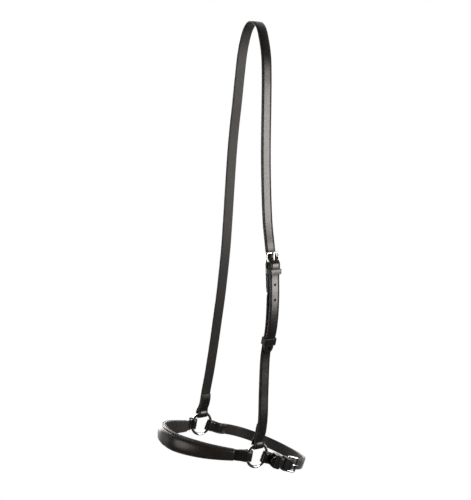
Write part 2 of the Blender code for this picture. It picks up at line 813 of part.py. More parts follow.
def nose_route():
    middle = [Vector((x * HALF_SPAN, y * NOSE_REACH)) for x, y in NOSE_SHARES]
    off, near = (ring_end(side, RING_FOLD_CENTRE, 1) for side in (-1, 1))
    return Route([*off, *middle, *near[::-1]])


def tongue_place(billet, matrix):
    """Where along the billet the resting pin passes through it."""
    pin = matrix @ Vector((TONGUE_RADIUS, 0.0, 0.0)), matrix @ Vector((TONGUE_RADIUS, 0.0, BUCKLE_LENGTH))
    start, end = (point.to_2d() for point in pin)
    spots = [start.lerp(end, step / 60) for step in range(61)]
    return min(
        (billet.nearest(spot) for spot in spots),
        key=lambda place: min((billet.at(place) - spot).length for spot in spots),
    )


def buckle_set(prefix, billet, chape, billet_item, chape_item, parts, cutters, materials):
    """The frame, tongue and fixed keeper on a chape, with the slot and hole that they need."""
    parent = chape_item.parent
    matrix = frame_matrix(chape.at(0.0), chape.normal(0.0), -chape.tangent(0.0))
    make_buckle_frame(prefix + "_buckle_frame", matrix, parent, parts, materials["nickel"])
    make_tongue(prefix + "_buckle_tongue", matrix, parent, parts, materials["nickel"])
    cut(chape_item, prefix + "_tongue_slot", [tongue_slot(matrix)], cutters)
    for number, shape in enumerate(tongue_hole(matrix), 1):
        cut(billet_item, f"{prefix}_tongue_hole_{number}", [shape], cutters)
    place = FIXED_KEEPER_FROM_BAR
    outer = stack_offset(chape, place, FIXED_KEEPER_WIDTH, billet) + HALF_LEATHER + CLEARANCE
    make_keeper(prefix + "_fixed_keeper", chape, place, KEEPER_THICKNESS / 2, outer,
                FIXED_KEEPER_WIDTH, parent, parts, materials["leather"])
    return tongue_place(billet, matrix)


def make_materials():
    return {
        "leather": finish_material("black_leather", BLACK_LEATHER),
        "lining": finish_material("lining_leather", LINING_LEATHER),
        "felt": finish_material("padding_felt", PADDING_FELT),
        "nickel": finish_material("nickel", NICKEL),
        "thread": finish_material("black_thread", BLACK_THREAD),
    }


def make_head(parts, cutters, materials):
    """The headpiece with its billet, and the near cheekpiece that carries its buckle."""
    plane = pivot("head_plane", (0.0, 0.0, 0.0), HEAD_LEAN, parts)
    head, cheek = head_routes()
    ring_end = ring_fold(CHEEK_RING_LAP)
    chape = bar_fold(CHAPE_RUN, CHEEK_CHAPE_LAP)
    leather = materials["leather"]
    headpiece = strap("headpiece_strap", head, (ring_end, None), plane, parts, leather)
    cheekpiece = strap("near_cheekpiece", cheek, (chape, ring_end), plane, parts, leather)
    pierced = buckle_set("cheek", head, cheek, headpiece, cheekpiece, parts, cutters, materials)
    first_hole = pierced + CHEEK_HOLE_FROM_PIN
    places = [first_hole + HOLE_PITCH * count for count in range(CHEEK_BILLET_HOLES)]
    places.append(head.length - TIP_HOLE_FROM_END)
    cut(headpiece, "headpiece_holes", [hole_drill(head, p, HOLE_DIAMETER / 2) for p in places], cutters)
    cut(headpiece, "headpiece_tip", [tip_cutter(head)], cutters)
    place = cheek.level_place(-CHEEK_RUNNING_KEEPER_SHARE * HEAD_DROP)
    inner = inner_reach(cheek, place, CHEEK_KEEPER_WIDTH, ring_end)
    outer = stack_offset(cheek, place, CHEEK_KEEPER_WIDTH, head) + HALF_LEATHER + CLEARANCE
    make_keeper("cheek_running_keeper", cheek, place, inner, outer, CHEEK_KEEPER_WIDTH,
                plane, parts, leather)
    first = RING_FOLD_DEPTH + RING_FOLD_RUN
    thread = materials["thread"]
    make_stitching("off_cheek_stitching", headpiece, head, ring_end, False, first, parts, cutters, thread)
    make_stitching("near_cheek_stitching", cheekpiece, cheek, ring_end, True, first, parts, cutters, thread)
    behind_keeper = FIXED_KEEPER_FROM_BAR + FIXED_KEEPER_WIDTH / 2 + STITCH_EDGE
    make_stitching("cheek_chape_stitching", cheekpiece, cheek, chape, False, behind_keeper,
                   parts, cutters, thread)
    for item in (headpiece, cheekpiece):
        weld(item)


def make_chin(parts, cutters, materials):
    """The long chin strap from the off ring and the short one with the buckle on the near ring."""
    plane = pivot("chin_hinge", (0.0, -RING_FORWARD, -RING_DROP), -CHIN_TILT, parts)
    long, short = chin_routes()
    off_end = ring_fold(CHEEK_RING_LAP)
    near_end = ring_fold(CHIN_RING_LAP)
    chape = bar_fold(CHIN_CHAPE_RUN, CHIN_CHAPE_LAP)
    leather = materials["leather"]
    long_strap = strap("chin_long_strap", long, (off_end, None), plane, parts, leather)
    short_strap = strap("chin_short_strap", short, (chape, near_end), plane, parts, leather)
    pierced = buckle_set("chin", long, short, long_strap, short_strap, parts, cutters, materials)
    places = [pierced + HOLE_PITCH] + [
        pierced - HOLE_PITCH * (count + 1) for count in range(CHIN_SPARE_HOLES)
    ]
    cut(long_strap, "chin_holes", [hole_drill(long, p, HOLE_DIAMETER / 2) for p in places], cutters)
    cut(long_strap, "chin_tip", [tip_cutter(long)], cutters)
    place = short.level_place(CHIN_RUNNING_KEEPER_SHARE * CHIN_BAR_BACK)
    inner = inner_reach(short, place, CHIN_KEEPER_WIDTH, near_end)
    outer = stack_offset(short, place, CHIN_KEEPER_WIDTH, long) + HALF_LEATHER + CLEARANCE
    make_keeper("chin_running_keeper", short, place, inner, outer, CHIN_KEEPER_WIDTH,
                plane, parts, leather)
    make_stitching("chin_off_stitching", long_strap, long, off_end, False,
                   RING_FOLD_DEPTH + RING_FOLD_RUN, parts, cutters, materials["thread"])
    for item in (long_strap, short_strap):
        weld(item)


def make_nosepiece(parts, materials):
    """The nosepiece: a backing strap folded round both rings, lined, padded and covered."""
    plane = pivot("nose_hinge", (0.0, -RING_FORWARD, -RING_DROP), pi - NOSE_TILT, parts)
    route, fold = nose_route(), ring_fold(NOSE_RING_LAP)
    backing = strap("nosepiece_backing", route, (fold, fold), plane, parts, materials["leather"])
    swell_edges(backing.data, route, fold)
    layers = (
        ("nosepiece_cover", cover_section, "leather"),
        ("nosepiece_padding", padding_section, "felt"),
        ("nosepiece_lining", lining_section, "lining"),
    )
    for name, section, finish in layers:
        nose_layer(name, route, fold, section, plane, parts, materials[finish])


def main():
    remove_startup_objects()
    parts = new_collection("drop_noseband")
    cutters = new_collection("cutters")
    cutters.hide_render = True
    materials = make_materials()
    make_head(parts, cutters, materials)
    make_nosepiece(parts, materials)
    make_chin(parts, cutters, materials)
    for name, side in (("near_ring", 1), ("off_ring", -1)):
        make_ring(name, side, parts, materials["nickel"])


main()
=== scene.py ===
"""Drop noseband in black leather with nickel rings and buckles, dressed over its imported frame."""

from bisect import bisect_right
from collections import namedtuple
from math import asin, atan2, cos, hypot, pi, radians, sin, sqrt

import bmesh
import bpy
from bpy.props import FloatProperty, FloatVectorProperty, PointerProperty
from mathutils import Matrix, Vector


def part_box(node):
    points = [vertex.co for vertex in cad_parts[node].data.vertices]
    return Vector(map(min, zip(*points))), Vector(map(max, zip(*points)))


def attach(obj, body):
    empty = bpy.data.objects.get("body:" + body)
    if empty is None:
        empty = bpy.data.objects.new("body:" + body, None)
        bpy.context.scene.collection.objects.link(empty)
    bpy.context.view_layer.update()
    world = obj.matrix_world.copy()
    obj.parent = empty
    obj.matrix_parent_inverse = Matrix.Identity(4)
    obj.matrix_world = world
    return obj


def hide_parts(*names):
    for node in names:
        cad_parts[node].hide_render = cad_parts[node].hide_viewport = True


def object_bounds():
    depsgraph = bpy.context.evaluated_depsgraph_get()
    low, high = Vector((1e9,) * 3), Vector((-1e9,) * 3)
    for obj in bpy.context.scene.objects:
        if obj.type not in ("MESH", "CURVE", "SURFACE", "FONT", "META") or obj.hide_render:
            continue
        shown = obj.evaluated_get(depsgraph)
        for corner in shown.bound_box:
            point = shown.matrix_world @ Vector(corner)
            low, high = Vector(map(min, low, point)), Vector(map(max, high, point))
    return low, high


bl_info = {
    "name": "Drop Noseband",
    "version": (1, 0, 0),
    "blender": (4, 5, 0),
    "location": "3D View > Sidebar > Noseband",
    "description": "Dresses the drop noseband in leather, thread and nickel",
    "category": "Object",
}

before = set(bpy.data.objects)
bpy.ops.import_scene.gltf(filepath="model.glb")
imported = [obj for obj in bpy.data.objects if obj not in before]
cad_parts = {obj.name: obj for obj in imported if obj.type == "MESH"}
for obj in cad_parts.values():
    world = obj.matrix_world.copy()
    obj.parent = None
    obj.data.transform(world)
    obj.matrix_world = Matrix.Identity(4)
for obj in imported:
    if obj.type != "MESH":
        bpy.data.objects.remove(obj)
packed_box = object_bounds()

# Places of the rings, which carry every strap
near_low, near_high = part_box("near_ring")
ring_centre = (near_low + near_high) / 2
HALF_SPAN, RING_FORWARD, RING_DROP = ring_centre.x, -ring_centre.y, -ring_centre.z
HEAD_DROP = hypot(RING_DROP, RING_FORWARD)
HEAD_LEAN = atan2(RING_DROP, RING_FORWARD)
NOSE_REACH = 0.0890
CHIN_REACH = 0.1120
CHIN_BAR_BACK = 0.0468
NOSE_TILT = radians(12.0)
CHIN_TILT = radians(24.0)

# Sizes that the frame's solids share with the dressed pieces
STRAP_WIDTH = 0.0145
STRAP_THICKNESS = 0.0026
HALF_STRAP = STRAP_WIDTH / 2
HALF_LEATHER = STRAP_THICKNESS / 2
LAP_SLIT = 0.0003
CLEARANCE = 0.0003
RING_BORE = 0.0270
RING_WIRE = 0.0037
RING_FOLD_RUN = 0.0080
RING_STRAIGHT = 0.0060
LONG_RING_LAP = 0.0210
SHORT_RING_LAP = 0.0040
BUCKLE_BAR = 0.0028
BUCKLE_LENGTH = 0.0150
BUCKLE_SIDE_PLAY = 0.0006
BUCKLE_CORNER = 0.0024
TONGUE_WIRE = 0.0024
BILLET_SLACK = 0.0010
CHEEK_CHAPE_RUN = 0.0200
CHEEK_CHAPE_LAP = 0.0130
CHIN_CHAPE_RUN = 0.0186
CHIN_CHAPE_LAP = 0.0005
SKIVE = 0.0060
RUN_OUT = 0.0400
KEEPER_THICKNESS = 0.0012
KEEPER_CORNER = 0.0010
FIXED_KEEPER_FROM_BAR = 0.0076
FIXED_KEEPER_WIDTH = 0.0065
HOLE_DIAMETER = 0.0034
HOLE_PITCH = 0.0188
CHEEK_HOLE_FROM_PIN = 0.0126
CHEEK_BILLET_HOLES = 3
CHIN_SPARE_HOLES = 2
TIP_LENGTH = 0.0085
TIP_HOLE_FROM_END = 0.0075
NOSE_WIDTH = 0.0225
NOSE_COVER = 0.0012
NOSE_LINING = 0.0010
NOSE_PADDING_HEIGHT = 0.0038
NOSE_FLANGE = 0.0016
NOSE_LAYER_GAP = 0.0005
NOSE_CROWN_SHARE = 0.35
PAD_SHOULDER_SHARE = 0.7
STITCH_EDGE = 0.0022

RING_RADIUS = (RING_BORE + RING_WIRE) / 2
HALF_PITCH = (STRAP_THICKNESS + LAP_SLIT) / 2
RING_FOLD_RADIUS = RING_WIRE / 2 + CLEARANCE + HALF_LEATHER
RING_FOLD_CENTRE = (sqrt(RING_BORE**2 - STRAP_WIDTH**2) + RING_WIRE) / 2
RING_FOLD_DEPTH = RING_RADIUS - RING_FOLD_CENTRE + RING_WIRE / 4
BAR_FOLD_RADIUS = BUCKLE_BAR / 2 + CLEARANCE + HALF_LEATHER
BAR_FOLD_DEPTH = BUCKLE_BAR / 4
TONGUE_RADIUS = (BUCKLE_BAR + TONGUE_WIRE) / 2 + CLEARANCE
FRONT_BAR_REACH = BUCKLE_BAR / 2 + BILLET_SLACK + HALF_LEATHER
CHAPE_REACH = BAR_FOLD_RADIUS + STRAP_THICKNESS + BILLET_SLACK

# The headpiece across its plane as shares of HALF_SPAN, and down it as shares of the drop.
# A billet lies off the strap below it by shares of STRAP_THICKNESS.
OFF_SIDE_SHARES = (
    (-0.930, 0.947), (-0.881, 0.914), (-0.795, 0.848), (-0.714, 0.783), (-0.645, 0.7195),
    (-0.580, 0.657), (-0.536, 0.596), (-0.505, 0.535), (-0.498, 0.476), (-0.498, 0.418),
    (-0.498, 0.360), (-0.492, 0.302), (-0.470, 0.245), (-0.430, 0.188), (-0.394, 0.123),
    (-0.360, 0.076), (-0.306, 0.044), (-0.215, 0.0155), (-0.120, 0.0030), (-0.060, 0.0),
    (-0.040, 0.0),
)
NEAR_SIDE_SHARES = (
    (0.040, 0.0), (0.060, 0.0), (0.120, 0.0028), (0.215, 0.0130), (0.335, 0.0420),
    (0.425, 0.0750), (0.490, 0.1266), (0.534, 0.180), (0.573, 0.234), (0.617, 0.288),
    (0.674, 0.343), (0.743, 0.397), (0.830, 0.452), (0.925, 0.4925),
)
CHEEKPIECE_SHARES = (
    (1.049, 0.5396), (1.058, 0.560), (1.100, 0.605), (1.125, 0.655), (1.118, 0.692),
    (1.075, 0.722), (1.042, 0.754), (1.044, 0.785), (1.062, 0.825), (1.080, 0.868),
    (1.084, 0.905), (1.060, 0.942),
)
CHEEK_BILLET_SHARES = (
    (2.20, 0.566), (2.24, 0.605), (2.15, 0.650), (1.78, 0.690), (1.46, 0.722), (1.29, 0.747),
)
CHEEK_RUNNING_KEEPER_SHARE = 0.7165

# The chin straps across their plane as shares of HALF_SPAN, and back along it as shares of
# CHIN_REACH for the long strap and of CHIN_BAR_BACK for the short one and the billet over it
CHIN_LONG_SHARES = (
    (-0.930, 0.250), (-1.000, 0.390), (-1.060, 0.530), (-1.060, 0.670), (-0.940, 0.810),
    (-0.690, 0.920), (-0.350, 0.985), (-0.110, 1.0), (0.110, 1.0), (0.400, 0.975),
    (0.690, 0.900), (0.905, 0.755),
)
CHIN_SHORT_SHARES = ((1.120, 1.0), (1.105, 0.814), (1.060, 0.586))
CHIN_BILLET_SHARES = ((3.10, 0.842), (4.25, 0.634), (4.25, 0.395))
CHIN_RUNNING_KEEPER_SHARE = 0.598

# The nosepiece across its plane as shares of HALF_SPAN, and forward as shares of NOSE_REACH
NOSE_SHARES = (
    (-0.895, 0.270), (-0.840, 0.400), (-0.815, 0.530), (-0.785, 0.660), (-0.710, 0.785),
    (-0.560, 0.905), (-0.330, 0.980), (-0.110, 1.0), (0.100, 0.992), (0.300, 0.930),
    (0.500, 0.822), (0.655, 0.706), (0.790, 0.556), (0.890, 0.412), (0.960, 0.270),
)

# Fineness of the dressed pieces
STATION_STEP = 0.0016
TURN_STEPS = 14
CURVE_STEPS = 10
TIP_STEPS = 12
END_STEPS = 4
ROUND_STEPS = 3
FLESH_SHARES = (0.6, 0.3, 0.0)
GRAIN_SHARES = (0.72, 0.36, 0.0)
TANGENT_REACH = 0.00225
SEARCH_STEPS = 2000
PAD_STEPS = 24
PAD_STATION_STEP = 0.0006
WIRE_SIDES = 20
PUNCH_SIDES = 24
RING_SEGMENTS = 112
TONGUE_STEPS = 42
STITCH_SEGMENTS, STITCH_RINGS = 8, 6
CORNER_STEPS = 6
KEEPER_SIDE_SHARES = (0.2, 0.4, 0.6, 0.8)
SMOOTH_ANGLE = radians(40.0)

# Shapes of the finish
LAP_END_SHARE = 0.42
END_THIN_SHARE = 0.35
PUCKER_START = 0.62
PUCKER_PEAK = 4.0
RIM_SHARE = 0.35
LEAST_PAD = 0.0004
LINING_SHARES = (-0.7, -0.35, 0.0, 0.35, 0.7)
TIP_FLAT_SHARE = 0.24
TIP_FULLNESS = 0.72
CREASE_POINTS = 3
CREASE_WIDTH = 0.0004
CREASE_SHARE = 0.4
CREASE_DEPTH_SHARE = 0.2
CROWN_SHARE = 0.14
ROUND_SHARE = 0.85
END_ROUND_SHARE = 0.7
BLUNT = 0.4
SLIVER = 0.00001
STITCH_UNEVENNESS = radians(3.0)
STITCH_SEED = 7
TONGUE_SWEEP = radians(262.0)
TONGUE_SWING = radians(5.0)
TONGUE_TIP_SHARE = 0.66
TONGUE_TAPER_START = 0.6
TONGUE_DIP = 0.00025
CUT_OVERRUN = 0.0010
KEEPER_TRAVEL = 0.0030
KEEPER_PLAY = 0.0005
CHIN_KEEPER_WIDTH = 0.0080
CHEEK_KEEPER_WIDTH = 0.0095

# The photograph's camera, and each lamp's way, distance and size
CAMERA_PLACE = (1.05172, -0.76412, 0.0)
CAMERA_TURN = radians(55.065)
CAMERA_PITCH = radians(12.478)
SENSOR_WIDTH = 36.0
LAMPS = {
    "side": ((0.80, 0.60, 0.04), 1.6, 0.8), "rear": ((-0.95, 0.15, 0.05), 1.6, 1.4),
    "front": ((0.12, -1.0, 0.0), 1.8, 1.2), "top": ((0.0, 0.1, 1.0), 1.6, 0.8),
}
BACKDROP_WAY = (-0.81, 0.57, 0.10)
BACKDROP_FADE = (-0.1, 0.75)
FLOOR_REACH = 12.0
FLOOR_FADE = (0.25, 0.7)
FLOOR_MIRROR_FADE = (0.1, 0.9)

# Faces of a strap, which are also the order of its materials
GRAIN, EDGE, FLESH = range(3)

Fold = namedtuple("Fold", "radius depth run lap")
Station = namedtuple("Station", "spot out half thick")
Leather = namedtuple("Leather", "shine roughness pebble wrinkle wear depth")
Cloud = namedtuple("Cloud", "scale detail roughness")

# Settings of the finishes. A range is a noise's low and high and, where they follow, what these
# come to. A bump is its depth in metres and its strength. Streaks are their fineness along a
# strap and across it, detail and roughness. The wrinkles' fineness along it is each leather's own.
LEATHERS = {
    "grain": Leather(0.42, 0.27, 1050.0, 120.0, 0.8, 0.34),
    "flesh": Leather(0.30, 0.48, 1900.0, 60.0, 0.5, 0.9),
    "pad": Leather(0.42, 0.30, 1250.0, 150.0, 0.35, 0.28),
    "lining": Leather(0.20, 0.52, 1600.0, 200.0, 0.3, 1.0),
}
FINISH_NAMES = {
    "grain": "bridle_leather_grain", "flesh": "bridle_leather_flesh", "edge": "burnished_edge",
    "pad": "nosepiece_cover_leather", "lining": "nosepiece_lining_leather",
    "thread": "waxed_thread", "nickel": "nickel_plate", "felt": "pressed_felt",
}
WARM_SHINE = (1.0, 0.95, 0.90, 1.0)
WORN_COLOUR = (0.060, 0.046, 0.036, 1.0)
BARE_EDGE_COLOUR = (0.050, 0.034, 0.024, 1.0)
FELT_COLOURS = (0.030, 0.029, 0.028, 1.0), (0.085, 0.080, 0.074, 1.0)
WHITE = (1.0, 1.0, 1.0, 1.0)
PEBBLE_SMOOTHNESS = 0.6
PORES_PER_PEBBLE, PORES, PORE_DEPTH = 1.9, (4.0, 0.65), 0.35
WRINKLES = (0.9, 3.0, 0.55)
DYE = Cloud(34.0, 4.0, 0.6)
DYE_STREAKS, STREAK_SHARE = (22.0, 7.0, 4.0, 0.6), 0.4
DYE_RANGE = (0.34, 0.66)
DYE_SHADES = (0.66, 1.42)
MOTTLE = Cloud(260.0, 3.0, 0.6)
WORN_RIM = (0.80, 1.0)
WORN_RANGE = (0.42, 0.66)
WRINKLE_BUMP, MOTTLE_BUMP, PEBBLE_BUMP = (0.00030, 0.55), (0.00007, 0.5), (0.00010, 0.6)
NOISE_RANGE = (0.3, 0.7)
MOTTLE_ROUGHNESS, PEBBLE_ROUGHNESS = (-0.02, 0.02), (0.0, 0.7, -0.02, 0.03)
EDGE_SHINE, EDGE_FIBRES = 0.3, (60.0, 90.0, 4.0, 0.6)
EDGE_RANGE, EDGE_SHADES = (0.35, 0.65), (0.7, 1.5)
EDGE_ROUGHNESS, EDGE_BUMP = (0.30, 0.46), (0.00010, 0.5)
BARE_RANGE = (0.60, 0.74, 0.0, 0.6)
EDGE_PATCH = Cloud(120.0, 3.0, 0.55)
POLISH = Cloud(90.0, 4.0, 0.55)
POLISH_RANGE, POLISH_SHADES = (0.35, 0.7), (1.06, 0.84)
RUBS = Cloud(1.0, 3.0, 0.7)
POLISH_ROUGHNESS, RUB_ROUGHNESS = (0.06, 0.12), (0.5, 0.8, 0.0, 0.06)
RUB_TURN, RUB_SCALE, RUB_BUMP = (0.4, 0.7, 0.2), (900.0, 900.0, 5200.0), (0.00002, 0.35)
PLY_SCALE, PLY_SHADES, PLY_BUMP = 520.0, (0.6, 1.5), (0.00012, 0.7)
THREAD_FUZZ = Cloud(2600.0, 3.0, 0.55)
THREAD_SHINE, FELT_SHINE, FELT_SHEEN = 0.45, 0.2, 0.4
THREAD_ROUGHNESS, FELT_ROUGHNESS, FLOOR_ROUGHNESS = (0.42, 0.66), (0.86, 0.98), (0.78, 0.86)
FELT_BUMP = (0.0003, 0.8)
FELT_FIBRE, FELT_CLOUD = Cloud(1500.0, 5.0, 0.7), Cloud(160.0, 3.0, 0.55)
FLOOR_GRAIN = Cloud(30.0, 3.0, 0.55)


def size_choice(name, description, default, low, high, unit="LENGTH"):
    return FloatProperty(
        name=name, description=description, default=default, min=low, max=high, unit=unit
    )


def colour_choice(name, description, *default):
    return FloatVectorProperty(
        name=name, description=description, subtype="COLOR", size=3, default=default,
        min=0.0, max=1.0,
    )


class NosebandSizes(bpy.types.PropertyGroup):
    """Sizes of the finish that a saddler chooses."""

    edge_round: size_choice(
        "Edge rounding", "Radius of the strap's burnished edges", 0.0008, 0.0002, 0.0012
    )
    crease_inset: size_choice(
        "Crease inset", "Distance of the pressed line from the strap's edge",
        0.0014, 0.0008, 0.004,
    )
    crease_depth: size_choice("Crease depth", "Depth of the pressed line", 0.00026, 0.0, 0.0005)
    crown: size_choice(
        "Crown", "Rise of the strap's outer face in its middle", 0.00018, 0.0, 0.0004
    )
    stitch_pitch: size_choice(
        "Stitch pitch", "Distance from one stitch to the next", 0.0030, 0.0015, 0.006
    )
    stitch_length: size_choice(
        "Stitch length", "Length of thread that shows in one stitch", 0.0025, 0.001, 0.005
    )
    thread: size_choice("Thread", "Thickness of the waxed thread", 0.0007, 0.0003, 0.0012)
    stitch_slant: size_choice(
        "Stitch slant", "Turn of each stitch from the way of its row",
        radians(16.0), 0.0, radians(45.0), "ROTATION",
    )
    pucker: size_choice(
        "Pucker", "Height of the small folds in the nosepiece's cover", 0.00016, 0.0, 0.0006
    )


class NosebandColours(bpy.types.PropertyGroup):
    """Colours of the leather, thread and metal."""

    grain: colour_choice("Grain side", "Outer face of the straps", 0.0065, 0.0058, 0.0053)
    flesh: colour_choice("Flesh side", "Inner face of the straps", 0.0125, 0.0110, 0.0098)
    edge: colour_choice("Edge", "Cut edges of the leather", 0.016, 0.0125, 0.010)
    pad: colour_choice("Nosepiece", "Soft leather over the padding", 0.0115, 0.0090, 0.0074)
    lining: colour_choice("Lining", "Soft leather inside the nosepiece", 0.020, 0.0165, 0.0145)
    thread: colour_choice("Thread", "Waxed sewing thread", 0.030, 0.027, 0.025)
    nickel: colour_choice("Nickel", "Rings and buckles", 0.52, 0.51, 0.49)


class NosebandStage(bpy.types.PropertyGroup):
    """The floor, the lights and the camera."""

    floor_drop: size_choice(
        "Floor drop", "Distance of the floor below the chin strap", 0.34, 0.0, 2.0
    )
    floor_colour: colour_choice("Floor", "Colour of the floor", 0.93, 0.93, 0.93)
    surround: size_choice(
        "Surround", "Strength of the light from all round", 0.30, 0.0, 2.0, "NONE"
    )
    dim_side: size_choice(
        "Dim side", "Strength of what shines back from the camera's side", 0.05, 0.0, 1.0, "NONE"
    )
    side_power: size_choice(
        "Side light", "Power of the large lamp at the near side", 23.0, 0.0, 500.0, "POWER"
    )
    top_power: size_choice("Top light", "Power of the lamp above", 1.0, 0.0, 500.0, "POWER")
    front_power: size_choice(
        "Front light", "Power of the large lamp before the nosepiece", 13.0, 0.0, 500.0, "POWER"
    )
    rear_power: size_choice(
        "Rear light", "Power of the lamp that edges the nosepiece with light",
        45.0, 0.0, 500.0, "POWER",
    )
    lens: size_choice("Lens", "Focal length of the camera", 73.70, 10.0, 300.0, "CAMERA")


class Route:
    """A smooth line through points of a plane, read by its length from the first point."""

    def __init__(self, points):
        points = [Vector(point) for point in points]
        padded = [2 * points[0] - points[1], *points, 2 * points[-1] - points[-2]]
        self.points = [points[0]]
        for first, start, end, last in zip(padded, padded[1:], padded[2:], padded[3:]):
            for step in range(CURVE_STEPS):
                share = (step + 1) / CURVE_STEPS
                self.points.append(self.between(first, start, end, last, share))
        self.lengths = [0.0]
        for start, end in zip(self.points, self.points[1:]):
            self.lengths.append(self.lengths[-1] + (end - start).length)
        self.length = self.lengths[-1]

    @staticmethod
    def between(first, start, end, last, share):
        """One point of a centripetal curve through four points, between the middle two."""
        knots = [0.0]
        for one, other in ((first, start), (start, end), (end, last)):
            knots.append(knots[-1] + sqrt((other - one).length))
        place = knots[1] + share * (knots[2] - knots[1])

        def mix(one, other, low, high):
            return one.lerp(other, (place - low) / (high - low))

        left = mix(first, start, knots[0], knots[1])
        middle = mix(start, end, knots[1], knots[2])
        right = mix(end, last, knots[2], knots[3])
        lower = mix(left, middle, knots[0], knots[2])
        upper = mix(middle, right, knots[1], knots[3])
        return mix(lower, upper, knots[1], knots[2])

    def at(self, place):
        index = min(max(bisect_right(self.lengths, place) - 1, 0), len(self.points) - 2)
        start, end = self.points[index], self.points[index + 1]
        share = (place - self.lengths[index]) / (self.lengths[index + 1] - self.lengths[index])
        return start.lerp(end, share)

    def tangent(self, place):
        low, high = max(place - TANGENT_REACH, 0.0), min(place + TANGENT_REACH, self.length)
        return (self.at(high) - self.at(low)).normalized()

    def normal(self, place):
        """The side to the left of the way along, which is the outer face of every strap."""
        tangent = self.tangent(place)
        return Vector((-tangent.y, tangent.x))

    def beside(self, place, offset):
        return self.at(place) + offset * self.normal(place)

    def level_place(self, level):
        """The place where the line is at this distance along its plane's Y axis."""
        places = [step * self.length / SEARCH_STEPS for step in range(SEARCH_STEPS + 1)]
        return min(places, key=lambda place: abs(self.at(place).y - level))


def ring_fold(lap):
    return Fold(RING_FOLD_RADIUS, RING_FOLD_DEPTH, RING_FOLD_RUN, lap)


def bar_fold(run, lap):
    return Fold(BAR_FOLD_RADIUS, BAR_FOLD_DEPTH, run, lap)


def lap_end(fold):
    return fold.depth + fold.run + fold.lap


def fold_offset(fold, place):
    """How far each layer lies off the middle of a doubled end, at this place past the fold."""
    if fold is None:
        return 0.0
    if place <= fold.depth:
        return fold.radius
    if place <= fold.depth + fold.run:
        return fold.radius + (HALF_PITCH - fold.radius) * (place - fold.depth) / fold.run
    if place <= lap_end(fold):
        return HALF_PITCH
    if fold.lap < LONG_RING_LAP:
        return HALF_PITCH * max(0.0, 1.0 - (place - lap_end(fold)) / SKIVE)
    past = min((place - lap_end(fold)) / RUN_OUT, 1.0)
    return HALF_PITCH * (1.0 - past * past * (3.0 - 2.0 * past))


def lap_half(fold, place):
    """Half the thickness of the layer that is folded back, which is pared thin at its end."""
    left = min(max((lap_end(fold) - place) / SKIVE, 0.0), 1.0)
    return HALF_LEATHER * (LAP_END_SHARE + (1.0 - LAP_END_SHARE) * left)


def even(low, high, step):
    """Evenly spaced places from low to high, both included."""
    count = max(1, round(abs(high - low) / step))
    return [low + (high - low) * index / count for index in range(count + 1)]


def turn_stations(centre, first, turn, radius):
    """Stations half way round a ring or bar, from the side of first through turn."""
    angles = (pi * step / TURN_STEPS for step in range(1, TURN_STEPS))
    ways = [cos(angle) * first + sin(angle) * turn for angle in angles]
    return [Station(centre + radius * way, way, HALF_STRAP, HALF_LEATHER) for way in ways]


def rounded_end(last, way):
    """Steps past a last station, which round the end over in width and in thickness."""
    radius = END_ROUND_SHARE * last.thick
    ends = []
    for step in range(1, END_STEPS + 1):
        angle = pi / 2 * step / (END_STEPS + BLUNT)
        inset = radius * (1.0 - cos(angle))
        spot = last.spot + radius * sin(angle) * way
        ends.append(Station(spot, last.out, last.half - inset, last.thick - inset))
    return ends


def lap_stations(route, fold, from_end):
    """Stations of the layer that is folded back, from the fold to its pared end."""
    stations = []
    for inside in even(0.0, lap_end(fold), STATION_STEP):
        place = route.length - inside if from_end else inside
        half = lap_half(fold, inside)
        offset = fold_offset(fold, inside) - HALF_LEATHER + half
        out = -route.normal(place)
        stations.append(Station(route.beside(place, -offset), out, HALF_STRAP, half))
    way = (stations[-1].spot - stations[-2].spot).normalized()
    return stations + rounded_end(stations[-1], way)


def tip_half(left):
    """Half the width of a strap point at this distance from its end."""
    share = sin(min(left / TIP_LENGTH, 1.0) * pi / 2) ** TIP_FULLNESS
    return HALF_STRAP * (TIP_FLAT_SHARE + (1.0 - TIP_FLAT_SHARE) * share)


def main_stations(route, start, end, half_at):
    """Stations of the layer that runs all the way, whose end is folded or cut to a point."""
    length = route.length
    places = even(0.0, length if end else length - TIP_LENGTH, STATION_STEP)
    if not end:
        steps = range(1, TIP_STEPS + 1)
        places += [length - TIP_LENGTH * (1 - step / TIP_STEPS) for step in steps]
    stations = []
    for place in places:
        offset = max(fold_offset(start, place), fold_offset(end, length - place))
        half = tip_half(length - place)
        if end:
            half = half_at(place) if half_at else HALF_STRAP
        out = route.normal(place)
        stations.append(Station(route.beside(place, offset), out, half, HALF_LEATHER))
    return stations


def strap_stations(route, start, end, half_at):
    """Stations along a whole strap, from its first end to its last."""
    stations = []
    if start:
        centre, side, back = route.at(0.0), route.normal(0.0), -route.tangent(0.0)
        stations = lap_stations(route, start, False)[::-1]
        stations += turn_stations(centre, -side, back, start.radius)
    stations += main_stations(route, start, end, half_at)
    if end:
        length = route.length
        centre, side, ahead = route.at(length), route.normal(length), route.tangent(length)
        stations += turn_stations(centre, side, ahead, end.radius)
        return stations + lap_stations(route, end, True)
    return stations + rounded_end(stations[-1], route.tangent(route.length))


